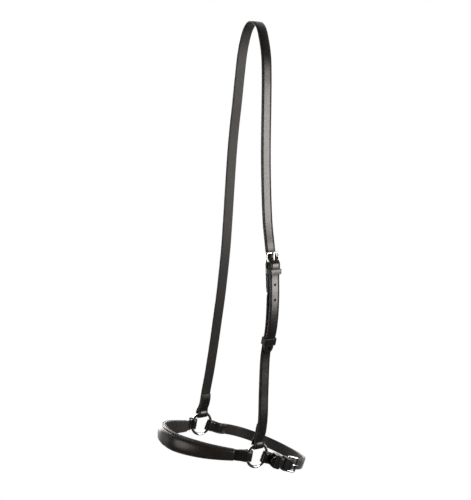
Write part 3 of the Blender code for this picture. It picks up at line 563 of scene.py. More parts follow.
def strap_section(half, thick):
    """Points (across, outward) round a strap: creased, crowned grain side and rounded edges."""
    sizes = bpy.context.scene.noseband_sizes
    turn = min(sizes.edge_round, ROUND_SHARE * thick, half / 2)
    line = half - min(sizes.crease_inset, half / 2)
    crease = min(CREASE_WIDTH, CREASE_SHARE * (half - line - turn / 2))
    depth = min(sizes.crease_depth, CREASE_DEPTH_SHARE * thick)
    crown = min(sizes.crown, CROWN_SHARE * thick)
    top, bottom = [], []
    for step in range(ROUND_STEPS + 1):
        angle = pi / 2 * step / ROUND_STEPS
        across, inset = half - turn * (1 - cos(angle)), turn * (1 - sin(angle))
        top.append((across, thick - inset))
        bottom.append((across, inset - thick))
    top += [(line + crease, thick), (line, thick - depth), (line - crease, thick)]
    top += [((line - crease) * share, thick) for share in GRAIN_SHARES]
    bottom += [((half - turn) * share, -thick) for share in FLESH_SHARES]
    right = bottom[::-1] + [
        (across, out - crown * (across / half) ** 2) for across, out in top
    ]
    return right + [(-across, out) for across, out in right[-2:0:-1]]


def strap_sides():
    """Which side of the strap each face round its section belongs to."""
    right = [FLESH] * len(FLESH_SHARES) + [EDGE] * (2 * ROUND_STEPS + 1)
    right += [GRAIN] * (CREASE_POINTS + len(GRAIN_SHARES))
    return right + right[::-1]


def skin_mesh(name, rings, sides, looks, closed=False):
    """One closed skin through rings of (point, UV mark) pairs."""
    work = bmesh.new()
    layer = work.loops.layers.uv.new("leather")
    corners = [[(work.verts.new(point), mark) for point, mark in ring] for ring in rings]
    count, total = len(rings[0]), len(rings)
    for index in range(total if closed else total - 1):
        here, ahead = corners[index], corners[(index + 1) % total]
        for side in range(count):
            after = (side + 1) % count
            spots = here[side], here[after], ahead[after], ahead[side]
            face = work.faces.new([corner for corner, mark in spots])
            face.smooth = True
            face.material_index = sides[side]
            for loop, (corner, mark) in zip(face.loops, spots):
                loop[layer].uv = mark
    if not closed:
        for ring in (corners[0][::-1], corners[-1]):
            face = work.faces.new([corner for corner, mark in ring])
            face.material_index = sides[0]
    bmesh.ops.recalc_face_normals(work, faces=work.faces)
    mesh = bpy.data.meshes.new(name)
    work.to_mesh(mesh)
    work.free()
    for material in looks:
        mesh.materials.append(material)
    return mesh


def band_mesh(name, stations, matrix, closed=False):
    """A strap through its stations, whose UV runs along it and from -1 to 1 across it."""
    rings, run = [], 0.0
    for index, station in enumerate(stations):
        if index:
            run += (station.spot - stations[index - 1].spot).length
        ring = []
        for across, out in strap_section(station.half, station.thick):
            flat = station.spot + out * station.out
            point = matrix @ Vector((flat.x, flat.y, across))
            ring.append((point, (run, across / station.half)))
        rings.append(ring)
    return skin_mesh(name, rings, strap_sides(), strap_finish(), closed)


def shown(name, data):
    item = bpy.data.objects.new(name, data)
    bpy.context.scene.collection.objects.link(item)
    return item


def finish_piece(item, body, slot, *nodes):
    """A finished piece that rides on a body in place of these solids."""
    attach(item, body)
    if nodes:
        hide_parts(*nodes)
    return item


def add_piece(mesh, body, slot, node):
    mesh.set_sharp_from_angle(angle=SMOOTH_ANGLE)
    return finish_piece(shown(mesh.name, mesh), body, slot, node)


def applied(item):
    """Turns the object's live modifiers into its own mesh."""
    graph = bpy.context.evaluated_depsgraph_get()
    graph.update()
    solid = bpy.data.meshes.new_from_object(
        item.evaluated_get(graph), preserve_all_data_layers=True, depsgraph=graph
    )
    item.modifiers.clear()
    item.data = solid
    return item


def cut_out(mesh, cutters):
    """The mesh with these closed cutters taken out of it, one after another."""
    item = shown(mesh.name, mesh)
    for cutter in cutters:
        modifier = item.modifiers.new("cut", "BOOLEAN")
        modifier.object = cutter
        modifier.operation = "DIFFERENCE"
        modifier.solver = "EXACT"
    name, solid = mesh.name, applied(item).data
    bpy.data.objects.remove(item)
    bpy.data.meshes.remove(mesh)
    for cutter in cutters:
        bpy.data.objects.remove(cutter)
    work = bmesh.new()
    work.from_mesh(solid)
    bmesh.ops.dissolve_degenerate(work, dist=SLIVER, edges=work.edges)
    work.to_mesh(solid)
    work.free()
    solid.name = name
    return solid


def frame_matrix(route, place):
    """Axes at a place of a strap: X is outward, Y the strap's width, and Z back along it."""
    out, back = route.normal(place).to_3d(), -route.tangent(place).to_3d()
    matrix = Matrix((out, back.cross(out), back)).transposed().to_4x4()
    matrix.translation = route.at(place).to_3d()
    return matrix


def head_plane():
    return Matrix.Rotation(HEAD_LEAN, 4, "X")


def hinge_plane(tilt):
    """A plane that hangs from the ring axis and is turned by this tilt about it."""
    place = Matrix.Translation((0.0, -RING_FORWARD, -RING_DROP))
    return place @ Matrix.Rotation(tilt, 4, "X")


def nose_plane():
    return hinge_plane(pi - NOSE_TILT)


def chin_plane():
    return hinge_plane(-CHIN_TILT)


def billet_points(chape, shares, reach):
    """Points of a billet from inside the front bar to outside the chape, and on over its strap.

    The last ones are at shares of this reach along the plane's Y axis.
    """
    slope = asin((FRONT_BAR_REACH + CHAPE_REACH) / BUCKLE_LENGTH)
    front = (BUCKLE_LENGTH - FRONT_BAR_REACH * sin(slope), -FRONT_BAR_REACH * cos(slope))
    over = (CHAPE_REACH * sin(slope), CHAPE_REACH * cos(slope))
    round_bar = (CHAPE_REACH * sin(slope / 2), CHAPE_REACH * cos(slope / 2))
    bar, out, up = chape.at(0.0), chape.normal(0.0), -chape.tangent(0.0)
    crossing = (front, over, round_bar, (0.0, CHAPE_REACH))
    return [bar + along * up + off * out for along, off in crossing] + [
        chape.beside(chape.level_place(share * reach), lift * STRAP_THICKNESS)
        for lift, share in shares
    ]


def plane_points(shares, reach):
    """Points of a strap's plane at shares of HALF_SPAN across it and of this reach along it."""
    return [Vector((across * HALF_SPAN, along * reach)) for across, along in shares]


def ring_end(side, level=RING_FOLD_CENTRE):
    """The middle of a fold round a ring, and a point straight on from it."""
    start = Vector((side * HALF_SPAN, level))
    return [start, start + Vector((0.0, RING_STRAIGHT))]


def head_routes():
    """Routes of the headpiece and the near cheekpiece in the plane that leans with the cheeks."""
    level, lift = RING_FOLD_CENTRE - HEAD_DROP, Vector((0.0, HALF_LEATHER))
    cheek = Route(plane_points(CHEEKPIECE_SHARES, -HEAD_DROP) + ring_end(1, level)[::-1])
    over = plane_points(OFF_SIDE_SHARES + NEAR_SIDE_SHARES, -HEAD_DROP)
    billet = billet_points(cheek, CHEEK_BILLET_SHARES, -HEAD_DROP)
    return Route(ring_end(-1, level) + [point + lift for point in over] + billet), cheek


def chin_routes():
    """Routes of the long and the short chin strap in the plane that falls to the rear."""
    short = Route(plane_points(CHIN_SHORT_SHARES, CHIN_BAR_BACK) + ring_end(1)[::-1])
    round_chin = plane_points(CHIN_LONG_SHARES, CHIN_REACH)
    billet = billet_points(short, CHIN_BILLET_SHARES, CHIN_BAR_BACK)
    return Route(ring_end(-1) + round_chin + billet), short


def nose_route():
    return Route(ring_end(-1) + plane_points(NOSE_SHARES, NOSE_REACH) + ring_end(1)[::-1])


def live(sockets, name):
    """The socket of this name that the node's settings have switched on, or of this number."""
    if isinstance(name, int):
        return sockets[name]
    return next(socket for socket in sockets if socket.name == name and socket.enabled)


class NodeBoard:
    """Adds nodes to a tree, with their settings and inputs in one call."""

    def __init__(self, tree):
        self.tree = tree

    def add(self, kind, inputs=None, **settings):
        node = self.tree.nodes.new(kind)
        for name, value in settings.items():
            setattr(node, name, value)
        return self.feed(node, inputs or {})

    def feed(self, node, inputs):
        """Sets a node's inputs to values, or joins them to the sockets of other nodes."""
        for name, value in inputs.items():
            if isinstance(value, bpy.types.NodeSocket):
                self.tree.links.new(value, live(node.inputs, name))
            else:
                live(node.inputs, name).default_value = value
        return node

    def out(self, name, kind, inputs=None, **settings):
        """An output of a new node, by its name or number."""
        return live(self.add(kind, inputs, **settings).outputs, name)

    def math(self, operation, first, second=0.0):
        return self.out(0, "ShaderNodeMath", {0: first, 1: second}, operation=operation)

    def scaled(self, value, share):
        return self.math("MULTIPLY", value, share)

    def vector(self, *parts):
        return self.out("Vector", "ShaderNodeCombineXYZ", dict(zip("XYZ", parts)))

    def parts(self, vector):
        return self.add("ShaderNodeSeparateXYZ", {"Vector": vector}).outputs

    def along(self, vector, way):
        """How far a vector reaches in this way."""
        inputs = {0: vector, 1: way}
        return self.out("Value", "ShaderNodeVectorMath", inputs, operation="DOT_PRODUCT")

    def spot(self):
        return self.out("Object", "ShaderNodeTexCoord")

    def marks(self):
        """How far along a strap a point lies, and from -1 to 1 across it."""
        return self.parts(self.out("UV", "ShaderNodeUVMap", uv_map="leather"))

    def ranged(self, value, low, high, new_low=0.0, new_high=1.0):
        return self.out("Result", "ShaderNodeMapRange", {
            "Value": value, "From Min": low, "From Max": high, "To Min": new_low,
            "To Max": new_high,
        })

    def mixed(self, share, first, second):
        inputs = {"Factor": share, "A": first, "B": second}
        return self.out("Result", "ShaderNodeMix", inputs, data_type="RGBA")

    def shades(self, share, colour, shades):
        """A colour that goes from the first of its two shades to the second."""
        return self.mixed(share, *(shaded(colour, shade) for shade in shades))

    def noise(self, spot, scale, detail, roughness):
        return self.out("Fac", "ShaderNodeTexNoise", {
            "Vector": spot, "Scale": scale, "Detail": detail, "Roughness": roughness,
        })

    def streaks(self, run, width, detail, roughness):
        """A noise drawn out along a strap, finer along it by run and across it by width."""
        marks = self.marks()
        drawn = self.vector(self.scaled(marks["X"], run), self.scaled(marks["Y"], width))
        return self.noise(drawn, 1.0, detail, roughness)

    def rough(self, noise, low, high):
        """A roughness that follows a noise from low to high."""
        return self.ranged(noise, *NOISE_RANGE, low, high)

    def bump(self, height, distance, strength, under=None):
        inputs = {"Height": height, "Distance": distance, "Strength": strength}
        if under:
            inputs["Normal"] = under
        return self.out("Normal", "ShaderNodeBump", inputs)


def new_finish(name, **uniform):
    """A new material's node board, its shader set to the values that are the same all over."""
    material = bpy.data.materials.new(name)
    material.use_nodes = True
    board = NodeBoard(material.node_tree)
    board.material, board.shader = material, material.node_tree.nodes["Principled BSDF"]
    for socket, value in uniform.items():
        board.shader.inputs[socket.replace("_", " ")].default_value = value
    return board


def surfaced(board, colour, roughness, normal):
    """The material, once its shader is joined to what changes over the surface."""
    board.feed(board.shader, {"Base Color": colour, "Roughness": roughness, "Normal": normal})
    return board.material


def shaded(colour, share):
    return tuple(min(part * share, 1.0) for part in colour) + (1.0,)


def leather_finish(name, colour, look):
    """Pebbled leather with cross wrinkles, an uneven dye and edges that wear lighter."""
    board = new_finish(
        name, Specular_IOR_Level=look.shine, Specular_Tint=WARM_SHINE
    )
    spot = board.spot()
    cells = board.out(
        "Distance", "ShaderNodeTexVoronoi",
        {"Vector": spot, "Scale": look.pebble, "Smoothness": PEBBLE_SMOOTHNESS},
        feature="SMOOTH_F1",
    )
    pores = board.noise(spot, look.pebble * PORES_PER_PEBBLE, *PORES)
    dye, mottle = board.noise(spot, *DYE), board.noise(spot, *MOTTLE)
    wrinkles = board.streaks(look.wrinkle, *WRINKLES)
    rim = board.ranged(board.math("ABSOLUTE", board.marks()["Y"]), *WORN_RIM)
    rubbed = board.scaled(board.scaled(rim, board.ranged(mottle, *WORN_RANGE)), look.wear)
    drawn = board.scaled(board.streaks(*DYE_STREAKS), STREAK_SHARE)
    uneven = board.math("ADD", board.scaled(dye, 1.0 - STREAK_SHARE), drawn)
    dyed = board.shades(board.ranged(uneven, *DYE_RANGE), colour, DYE_SHADES)
    rough = board.math("ADD", board.rough(mottle, *MOTTLE_ROUGHNESS), look.roughness)
    rough = board.math("ADD", rough, board.ranged(cells, *PEBBLE_ROUGHNESS))
    pebbles = board.math("SUBTRACT", board.scaled(pores, PORE_DEPTH), cells)
    normal = None
    bumps = (wrinkles, WRINKLE_BUMP), (mottle, MOTTLE_BUMP), (pebbles, PEBBLE_BUMP)
    for height, (distance, strength) in bumps:
        normal = board.bump(height, distance * look.depth, strength, normal)
    return surfaced(board, board.mixed(rubbed, dyed, WORN_COLOUR), rough, normal)


def edge_finish(name, colour):
    """Cut leather edge, dyed and rubbed smooth, with the fibre layers just showing along it."""
    board = new_finish(name, Specular_IOR_Level=EDGE_SHINE)
    fibre = board.streaks(*EDGE_FIBRES)
    patch = board.noise(board.spot(), *EDGE_PATCH)
    dyed = board.shades(board.ranged(fibre, *EDGE_RANGE), colour, EDGE_SHADES)
    bare = board.mixed(board.ranged(patch, *BARE_RANGE), dyed, BARE_EDGE_COLOUR)
    rough = board.rough(patch, *EDGE_ROUGHNESS)
    return surfaced(board, bare, rough, board.bump(fibre, *EDGE_BUMP))


def nickel_finish(name, colour):
    """Bright nickel plate with fine rub marks and a faint unevenness of its polish."""
    board = new_finish(name, Metallic=1.0)
    spot = board.spot()
    cloud = board.noise(spot, *POLISH)
    turned = board.out("Vector", "ShaderNodeMapping", {
        "Vector": spot, "Rotation": RUB_TURN, "Scale": RUB_SCALE,
    })
    rubs = board.noise(turned, *RUBS)
    tint = board.shades(board.ranged(cloud, *POLISH_RANGE), colour, POLISH_SHADES)
    rough = board.rough(cloud, *POLISH_ROUGHNESS)
    rough = board.math("ADD", rough, board.ranged(rubs, *RUB_ROUGHNESS))
    return surfaced(board, tint, rough, board.bump(rubs, *RUB_BUMP))


def thread_finish(name, colour):
    """Waxed linen thread whose plies twist round it."""
    board = new_finish(name, Specular_IOR_Level=THREAD_SHINE)
    spot = board.spot()
    plies = board.out("Fac", "ShaderNodeTexWave", {
        "Vector": spot, "Scale": PLY_SCALE, "Distortion": 2.0, "Detail": 2.0,
    }, bands_direction="DIAGONAL")
    shade = board.shades(plies, colour, PLY_SHADES)
    rough = board.rough(board.noise(spot, *THREAD_FUZZ), *THREAD_ROUGHNESS)
    return surfaced(board, shade, rough, board.bump(plies, *PLY_BUMP))


def felt_finish(name):
    """Pressed felt, seen only at the ends of the nosepiece."""
    board = new_finish(
        name, Specular_IOR_Level=FELT_SHINE, Sheen_Weight=FELT_SHEEN, Sheen_Roughness=0.5
    )
    spot = board.spot()
    fibre = board.noise(spot, *FELT_FIBRE)
    rough = board.rough(board.noise(spot, *FELT_CLOUD), *FELT_ROUGHNESS)
    tint = board.mixed(fibre, *FELT_COLOURS)
    return surfaced(board, tint, rough, board.bump(fibre, *FELT_BUMP))


def finish(key):
    """One of the finishes by its plain name, made when it is first asked for."""
    colours = bpy.context.scene.noseband_colours
    name = FINISH_NAMES[key]
    made = bpy.data.materials.get(name)
    if made:
        return made
    if key in LEATHERS:
        return leather_finish(name, getattr(colours, key), LEATHERS[key])
    if key == "felt":
        return felt_finish(name)
    maker = {"edge": edge_finish, "thread": thread_finish, "nickel": nickel_finish}[key]
    return maker(name, getattr(colours, key))


def strap_finish():
    return finish("grain"), finish("edge"), finish("flesh")


def new_tree(name, **inputs):
    """A geometry tree's board and its input's sockets, named and of the kinds given."""
    tree = bpy.data.node_groups.new(name, "GeometryNodeTree")
    for in_out in ("OUTPUT", "INPUT"):
        tree.interface.new_socket("Geometry", in_out=in_out, socket_type="NodeSocketGeometry")
    for label, kind in inputs.items():
        tree.interface.new_socket(label, in_out="INPUT", socket_type="NodeSocket" + kind)
    board = NodeBoard(tree)
    return board, board.add("NodeGroupInput").outputs


def placed_along(board, points, shape, turn, look):
    """Ends a tree: copies of a shape on points, made real and given their finish."""
    copies = board.out("Instances", "GeometryNodeInstanceOnPoints", {
        "Points": points, "Instance": shape, "Rotation": turn,
    })
    made = board.out("Geometry", "GeometryNodeRealizeInstances", {"Geometry": copies})
    made = board.out("Geometry", "GeometryNodeSetMaterial", {"Geometry": made, "Material": look})
    board.add("NodeGroupOutput", {"Geometry": made})
    return board.tree


def outward(board):
    """The way that each point of a line faces, which grown writes on it."""
    return board.out(
        "Attribute", "GeometryNodeInputNamedAttribute", {"Name": "out"}, data_type="FLOAT_VECTOR"
    )


def stitch_tree():
    """One stitch after another along each row, slanted, half sunk and never quite alike."""
    board, given = new_tree(
        "stitch_tree", Pitch="Float", Length="Float", Thread="Float", Slant="Float",
        Unevenness="Float", Seed="Int", Finish="Material",
    )
    rows = board.out("Curve", "GeometryNodeMeshToCurve", {"Mesh": given["Geometry"]})
    points = board.out("Curve", "GeometryNodeResampleCurve", {
        "Curve": rows, "Length": given["Pitch"],
    }, mode="LENGTH")
    ball = board.out(
        "Mesh", "GeometryNodeMeshUVSphere", {
            "Segments": STITCH_SEGMENTS, "Rings": STITCH_RINGS, "Radius": 0.5,
        }
    )
    size = board.vector(given["Length"], given["Thread"], given["Thread"])
    stitch = board.out("Geometry", "GeometryNodeTransform", {"Geometry": ball, "Scale": size})
    stitch = board.out("Geometry", "GeometryNodeSetShadeSmooth", {"Geometry": stitch})
    lie = board.out("Rotation", "FunctionNodeAxesToRotation", {
        "Primary Axis": board.out("Tangent", "GeometryNodeInputTangent"),
        "Secondary Axis": outward(board),
    }, primary_axis="X", secondary_axis="Z")
    spread = given["Unevenness"]
    chance = board.out("Value", "FunctionNodeRandomValue", {
        "Min": board.scaled(spread, -1.0), "Max": spread, "Seed": given["Seed"],
    }, data_type="FLOAT")
    slant = board.out("Rotation", "FunctionNodeAxisAngleToRotation", {
        "Axis": (0.0, 0.0, 1.0), "Angle": board.math("ADD", given["Slant"], chance),
    })
    lie = board.out("Rotation", "FunctionNodeRotateRotation", {
        "Rotation": lie, "Rotate By": slant,
    }, rotation_space="LOCAL")
    return placed_along(board, points, stitch, lie, given["Finish"])


def punch_tree():
    """Round punches square to a strap, at even places of the line along its middle."""
    board, given = new_tree(
        "punch_tree", First="Float", Pitch="Float", Count="Int", Radius="Float",
        Depth="Float", Finish="Material",
    )
    line = board.out("Curve", "GeometryNodeMeshToCurve", {"Mesh": given["Geometry"]})
    marks = board.out("Mesh", "GeometryNodeMeshLine", {
        "Count": given["Count"], "Start Location": board.vector(given["First"]),
        "Offset": board.vector(given["Pitch"]),
    }, mode="OFFSET")
    place = board.parts(board.out("Position", "GeometryNodeInputPosition"))["X"]
    sample = board.add("GeometryNodeSampleCurve", {
        "Curves": line, "Value": outward(board), "Length": place,
    }, mode="LENGTH", data_type="FLOAT_VECTOR")
    square = board.out("Rotation", "FunctionNodeAlignRotationToVector", {
        "Vector": live(sample.outputs, "Value"),
    }, axis="Z")
    cylinder = board.out("Mesh", "GeometryNodeMeshCylinder", {
        "Vertices": PUNCH_SIDES, "Radius": given["Radius"], "Depth": given["Depth"],
    })
    turned = board.add("GeometryNodeCaptureAttribute")
    turned.capture_items.new("ROTATION", "Turn")
    board.feed(turned, {"Geometry": marks, "Turn": square})
    moved = board.out("Geometry", "GeometryNodeSetPosition", {
        "Geometry": turned.outputs["Geometry"], "Position": sample.outputs["Position"],
    })
    return placed_along(board, moved, cylinder, turned.outputs["Turn"], given["Finish"])


def grown(name, lines, maker, **values):
    """The mesh that a geometry tree makes along lines of (point, outward) pairs."""
    mesh = bpy.data.meshes.new(name)
    points, ways, edges = [], [], []
    for line in lines:
        base = len(points)
        points += [point for point, way in line]
        ways += [way for point, way in line]
        edges += [(base + index, base + index + 1) for index in range(len(line) - 1)]
    mesh.from_pydata(points, edges, [])
    out = mesh.attributes.new("out", "FLOAT_VECTOR", "POINT")
    for entry, way in zip(out.data, ways):
        entry.vector = way
    item = shown(name, mesh)
    tree = bpy.data.node_groups.get(maker.__name__) or maker()
    modifier = item.modifiers.new(tree.name, "NODES")
    modifier.node_group = tree
    for socket in tree.interface.items_tree:
        if socket.in_out == "INPUT" and socket.name in values:
            modifier[socket.identifier] = values[socket.name]
    return applied(item)


def wire_mesh(name, points, radii, normal, matrix, closed):
    """A round wire bent in one plane through these points, with domed ends where it is open."""
    total = len(points)
    places = []
    for index, point in enumerate(points):
        if closed:
            way = points[(index + 1) % total] - points[index - 1]
        else:
            way = points[min(index + 1, total - 1)] - points[max(index - 1, 0)]
        places.append((point, way.normalized(), radii[index]))
    if not closed:
        places = dome(places[0], -1)[::-1] + places + dome(places[-1], 1)
    rings, run = [], 0.0
    for index, (point, way, radius) in enumerate(places):
        if index:
            run += (point - places[index - 1][0]).length
        side, ring = way.cross(normal), []
        for step in range(WIRE_SIDES):
            angle = 2 * pi * step / WIRE_SIDES
            spot = point + radius * (cos(angle) * normal + sin(angle) * side)
            ring.append((matrix @ spot, (run, step / WIRE_SIDES)))
        rings.append(ring)
    return skin_mesh(name, rings, [0] * WIRE_SIDES, [finish("nickel")], closed)


def dome(end, sense):
    """Steps that round off a wire's end."""
    point, way, radius = end
    steps = []
    for step in range(1, END_STEPS + 2):
        angle = pi / 2 * step / (END_STEPS + 1 + BLUNT)
        steps.append((point + sense * radius * sin(angle) * way, way, radius * cos(angle)))
    return steps


def ring_mesh(name, side):
    """A round ring in the plane square to X."""
    centre = Vector((side * HALF_SPAN, -RING_FORWARD, -RING_DROP))
    angles = [2 * pi * step / RING_SEGMENTS for step in range(RING_SEGMENTS)]
    points = [Vector((0.0, RING_RADIUS * cos(turn), RING_RADIUS * sin(turn))) for turn in angles]
    radii = [RING_WIRE / 2] * RING_SEGMENTS
    return wire_mesh(name, points, radii, Vector((1, 0, 0)), Matrix.Translation(centre), True)


def buckle_frame_mesh(name, matrix):
    """A round-wire rectangle: its chape bar on the origin, its front bar along +Z."""
    half = HALF_STRAP + BUCKLE_SIDE_PLAY + BUCKLE_BAR / 2
    corners = ((-half, 0.0), (half, 0.0), (half, BUCKLE_LENGTH), (-half, BUCKLE_LENGTH))
    points = []
    for index, (width, length) in enumerate(corners):
        inward = Vector((-1 if width > 0 else 1, 1 if length == 0 else -1)) * BUCKLE_CORNER
        centre = Vector((width, length)) + inward
        for step in range(CORNER_STEPS + 1):
            angle = pi + (index + step / CORNER_STEPS) * pi / 2
            place = centre + BUCKLE_CORNER * Vector((cos(angle), sin(angle)))
            points.append(Vector((0.0, place.x, place.y)))
    radii = [BUCKLE_BAR / 2] * len(points)
    return wire_mesh(name, points, radii, Vector((1, 0, 0)), matrix, True)


def tongue_mesh(name, matrix):
    """A hook bent round the chape bar, whose tapered pin reaches over the front bar."""
    points, radii = [], []
    for step in range(TONGUE_STEPS + 1):
        angle = pi / 2 + TONGUE_SWEEP * (1 - step / TONGUE_STEPS)
        points.append(TONGUE_RADIUS * Vector((sin(angle), 0.0, cos(angle))))
        radii.append(TONGUE_WIRE / 2)
    reach = BUCKLE_LENGTH + BUCKLE_BAR / 2
    for step in range(1, TONGUE_STEPS + 1):
        share = step / TONGUE_STEPS
        late = max(0.0, (share - TONGUE_TAPER_START) / (1.0 - TONGUE_TAPER_START))
        points.append(Vector((TONGUE_RADIUS - TONGUE_DIP * late * late, 0.0, reach * share)))
        radii.append(TONGUE_WIRE / 2 * (1.0 - (1.0 - TONGUE_TIP_SHARE) * late))
    return wire_mesh(name, points, radii, Vector((0, 1, 0)), matrix, False)


def closed_cutter(name, work):
    """A cutter whose cut faces take the look of a raw edge."""
    mesh = bpy.data.meshes.new(name)
    work.to_mesh(mesh)
    work.free()
    mesh.materials.append(finish("edge"))
    return shown(name, mesh)


def pin_cutters(matrix):
    """Drills through the billet along the pin, at rest and swung out."""
    cutters = []
    for swing in (0.0, TONGUE_SWING / 2, TONGUE_SWING):
        turn = matrix @ Matrix.Rotation(swing, 4, "Y")
        length = BUCKLE_LENGTH - BUCKLE_BAR
        middle = turn @ Matrix.Translation((TONGUE_RADIUS, 0.0, length / 2))
        work = bmesh.new()
        bmesh.ops.create_cone(
            work, cap_ends=True, segments=PUNCH_SIDES, radius1=TONGUE_WIRE / 2 + CLEARANCE,
            radius2=TONGUE_WIRE / 2 + CLEARANCE, depth=length, matrix=middle,
        )
        cutters.append(closed_cutter("pin_cutter", work))
    return cutters


def slot_cutter(matrix):
    """The slot through a fold that the tongue's hook turns in."""
    half = TONGUE_WIRE / 2 + CLEARANCE
    outer = BAR_FOLD_RADIUS + HALF_LEATHER + CUT_OVERRUN
    inner = TONGUE_RADIUS + TONGUE_WIRE / 2 + CLEARANCE
    low, high = Vector((-outer, -half, -inner)), Vector((outer, half, outer))
    shape = Matrix.Translation((low + high) / 2) @ Matrix.Diagonal((*(high - low), 1.0))
    work = bmesh.new()
    bmesh.ops.create_cube(work, size=1.0, matrix=matrix @ shape)
    return closed_cutter("slot_cutter", work)


def pierced_place(billet, chape):
    """Where along the billet the resting pin passes through it."""
    matrix = frame_matrix(chape, 0.0)
    start = (matrix @ Vector((TONGUE_RADIUS, 0.0, 0.0))).to_2d()
    way = (matrix @ Vector((TONGUE_RADIUS, 0.0, BUCKLE_LENGTH))).to_2d() - start

    def gap(place):
        spot = billet.at(place) - start
        share = min(max(spot.dot(way) / way.dot(way), 0.0), 1.0)
        return (spot - share * way).length

    return min(even(0.0, billet.length, billet.length / SEARCH_STEPS), key=gap)


def face_point(route, plane, place, offset, across):
    """A point of space off a strap's middle, and the way that the strap's face is turned there."""
    flat = route.beside(place, offset)
    way = (route.normal(place) * (1 if offset >= 0 else -1)).to_3d()
    return plane @ Vector((flat.x, flat.y, across)), plane.to_3x3() @ way


def punched(route, plane, first, count):
    """Punches for a row of buckle holes in a strap."""
    places = even(0.0, route.length, STATION_STEP)
    line = [face_point(route, plane, place, 0.0, 0.0) for place in places]
    return grown(
        "punches", [line], punch_tree, First=first, Pitch=HOLE_PITCH, Count=count,
        Radius=HOLE_DIAMETER / 2, Depth=2 * STRAP_THICKNESS, Finish=finish("edge"),
    )


def strap_mesh(name, route, plane, start=None, end=None, half_at=None):
    """A strap along its route, folded at the ends given, of strap width or as half_at says."""
    return band_mesh(name, strap_stations(route, start, end, half_at), plane)


def keeper_mesh(name, route, plane, place, inner, outer, width):
    """A leather loop round a strap: its bore runs from inner to outer, measured off the route."""
    half, wall = HALF_STRAP + CLEARANCE, KEEPER_THICKNESS / 2
    matrix = plane @ frame_matrix(route, place)
    low, high = Vector((inner - wall, -half - wall)), Vector((outer + wall, half + wall))
    corners = ((high.x, high.y), (low.x, high.y), (low.x, low.y), (high.x, low.y))
    turns = []
    for index, corner in enumerate(corners):
        inward = Vector((-1 if index in (0, 3) else 1, -1 if index < 2 else 1)) * KEEPER_CORNER
        for step in range(CORNER_STEPS + 1):
            angle = (index + step / CORNER_STEPS) * pi / 2
            turns.append((Vector(corner) + inward, Vector((cos(angle), sin(angle)))))
    stations = []
    for (centre, way), (after, ahead) in zip(turns, turns[1:] + turns[:1]):
        spot = centre + KEEPER_CORNER * way
        stations.append(Station(spot, way, width / 2, wall))
        if after != centre:
            for share in KEEPER_SIDE_SHARES:
                between = spot.lerp(after + KEEPER_CORNER * ahead, share)
                stations.append(Station(between, way, width / 2, wall))
    return band_mesh(name, stations, matrix, closed=True)


def under_keeper(route, place, width, points):
    """How far points lie off a route, square to it, by index for those that a keeper covers."""
    normal, along, base = route.normal(place), route.tangent(place), route.at(place)
    reach = width / 2 + KEEPER_TRAVEL
    ways = ((index, point - base) for index, point in enumerate(points))
    return {index: way.dot(normal) for index, way in ways if abs(way.dot(along)) <= reach}


def inner_reach(route, place, width, end):
    """The least offset of a keeper's bore that clears the strap's own layers, with play."""
    covered = under_keeper(route, place, width, route.points)
    lefts = ((lift, route.length - route.lengths[index]) for index, lift in covered.items())
    return min(lift - fold_offset(end, left) for lift, left in lefts) - HALF_LEATHER - KEEPER_PLAY


def nose_start(fold):
    return lap_end(fold) + SKIVE


def swell_share(route, fold, place):
    """How far a place lies along the nosepiece's layers, from 0 at one end to 1 at the other."""
    start = nose_start(fold)
    return min(max((place - start) / (route.length - 2 * start), 0.0), 1.0)


def nose_width(share):
    """Width of the nosepiece at a share of its layers: strap width at the ends, full in front."""
    return STRAP_WIDTH + (NOSE_WIDTH - STRAP_WIDTH) * sin(pi * share)


def pad_height(share):
    return NOSE_PADDING_HEIGHT * max(sin(pi * share), 0.0) ** NOSE_CROWN_SHARE


def arch(half_width, base, height):
    """Points (across, outward) over a crowned pad, from one edge to the other."""
    points = []
    for step in range(PAD_STEPS + 1):
        angle = pi * step / PAD_STEPS
        lift = height * max(sin(angle), 0.0) ** PAD_SHOULDER_SHARE
        points.append((-half_width * cos(angle), base + lift))
    return points


def end_round(left, thickness):
    """Thickness of a layer that rounds over at its ends, at this distance from the nearer one."""
    share = min(max(left / thickness, 0.0), 1.0)
    return thickness * (END_THIN_SHARE + (1.0 - END_THIN_SHARE) * sqrt(1.0 - (1.0 - share) ** 2))


def cover_section(share, place, left):
    """The cover: a dome over the padding, drawn down in small puckers to a stitched flange."""
    sizes = bpy.context.scene.noseband_sizes
    half, base = nose_width(share) / 2, HALF_LEATHER + NOSE_LAYER_GAP
    thick = end_round(left, NOSE_COVER)
    top, shoulder = base + thick, half - NOSE_FLANGE
    height = pad_height(share)
    wave = cos(2 * pi * place / sizes.stitch_pitch)
    outer = []
    for across, out in arch(shoulder, top, height):
        near_seam = max(0.0, abs(across) / shoulder - PUCKER_START) / (1.0 - PUCKER_START)
        drawn = PUCKER_PEAK * sizes.pucker * wave * near_seam * (1.0 - near_seam)
        outer.append((across, out + drawn))
    inner = arch(shoulder - NOSE_COVER, base, height)
    rim = RIM_SHARE * thick
    low_side = [(-half + rim, base), (-half, base + rim), (-half, top - rim), (-half + rim, top)]
    high_side = [(-across, out) for across, out in low_side[::-1]]
    return low_side + outer + high_side + inner[::-1]


def padding_section(share, *_):
    """The felt, which fills the cover from seam to seam."""
    half = nose_width(share) / 2 - NOSE_FLANGE - NOSE_COVER - CLEARANCE
    return arch(half, HALF_LEATHER + NOSE_LAYER_GAP, max(pad_height(share) - CLEARANCE, LEAST_PAD))


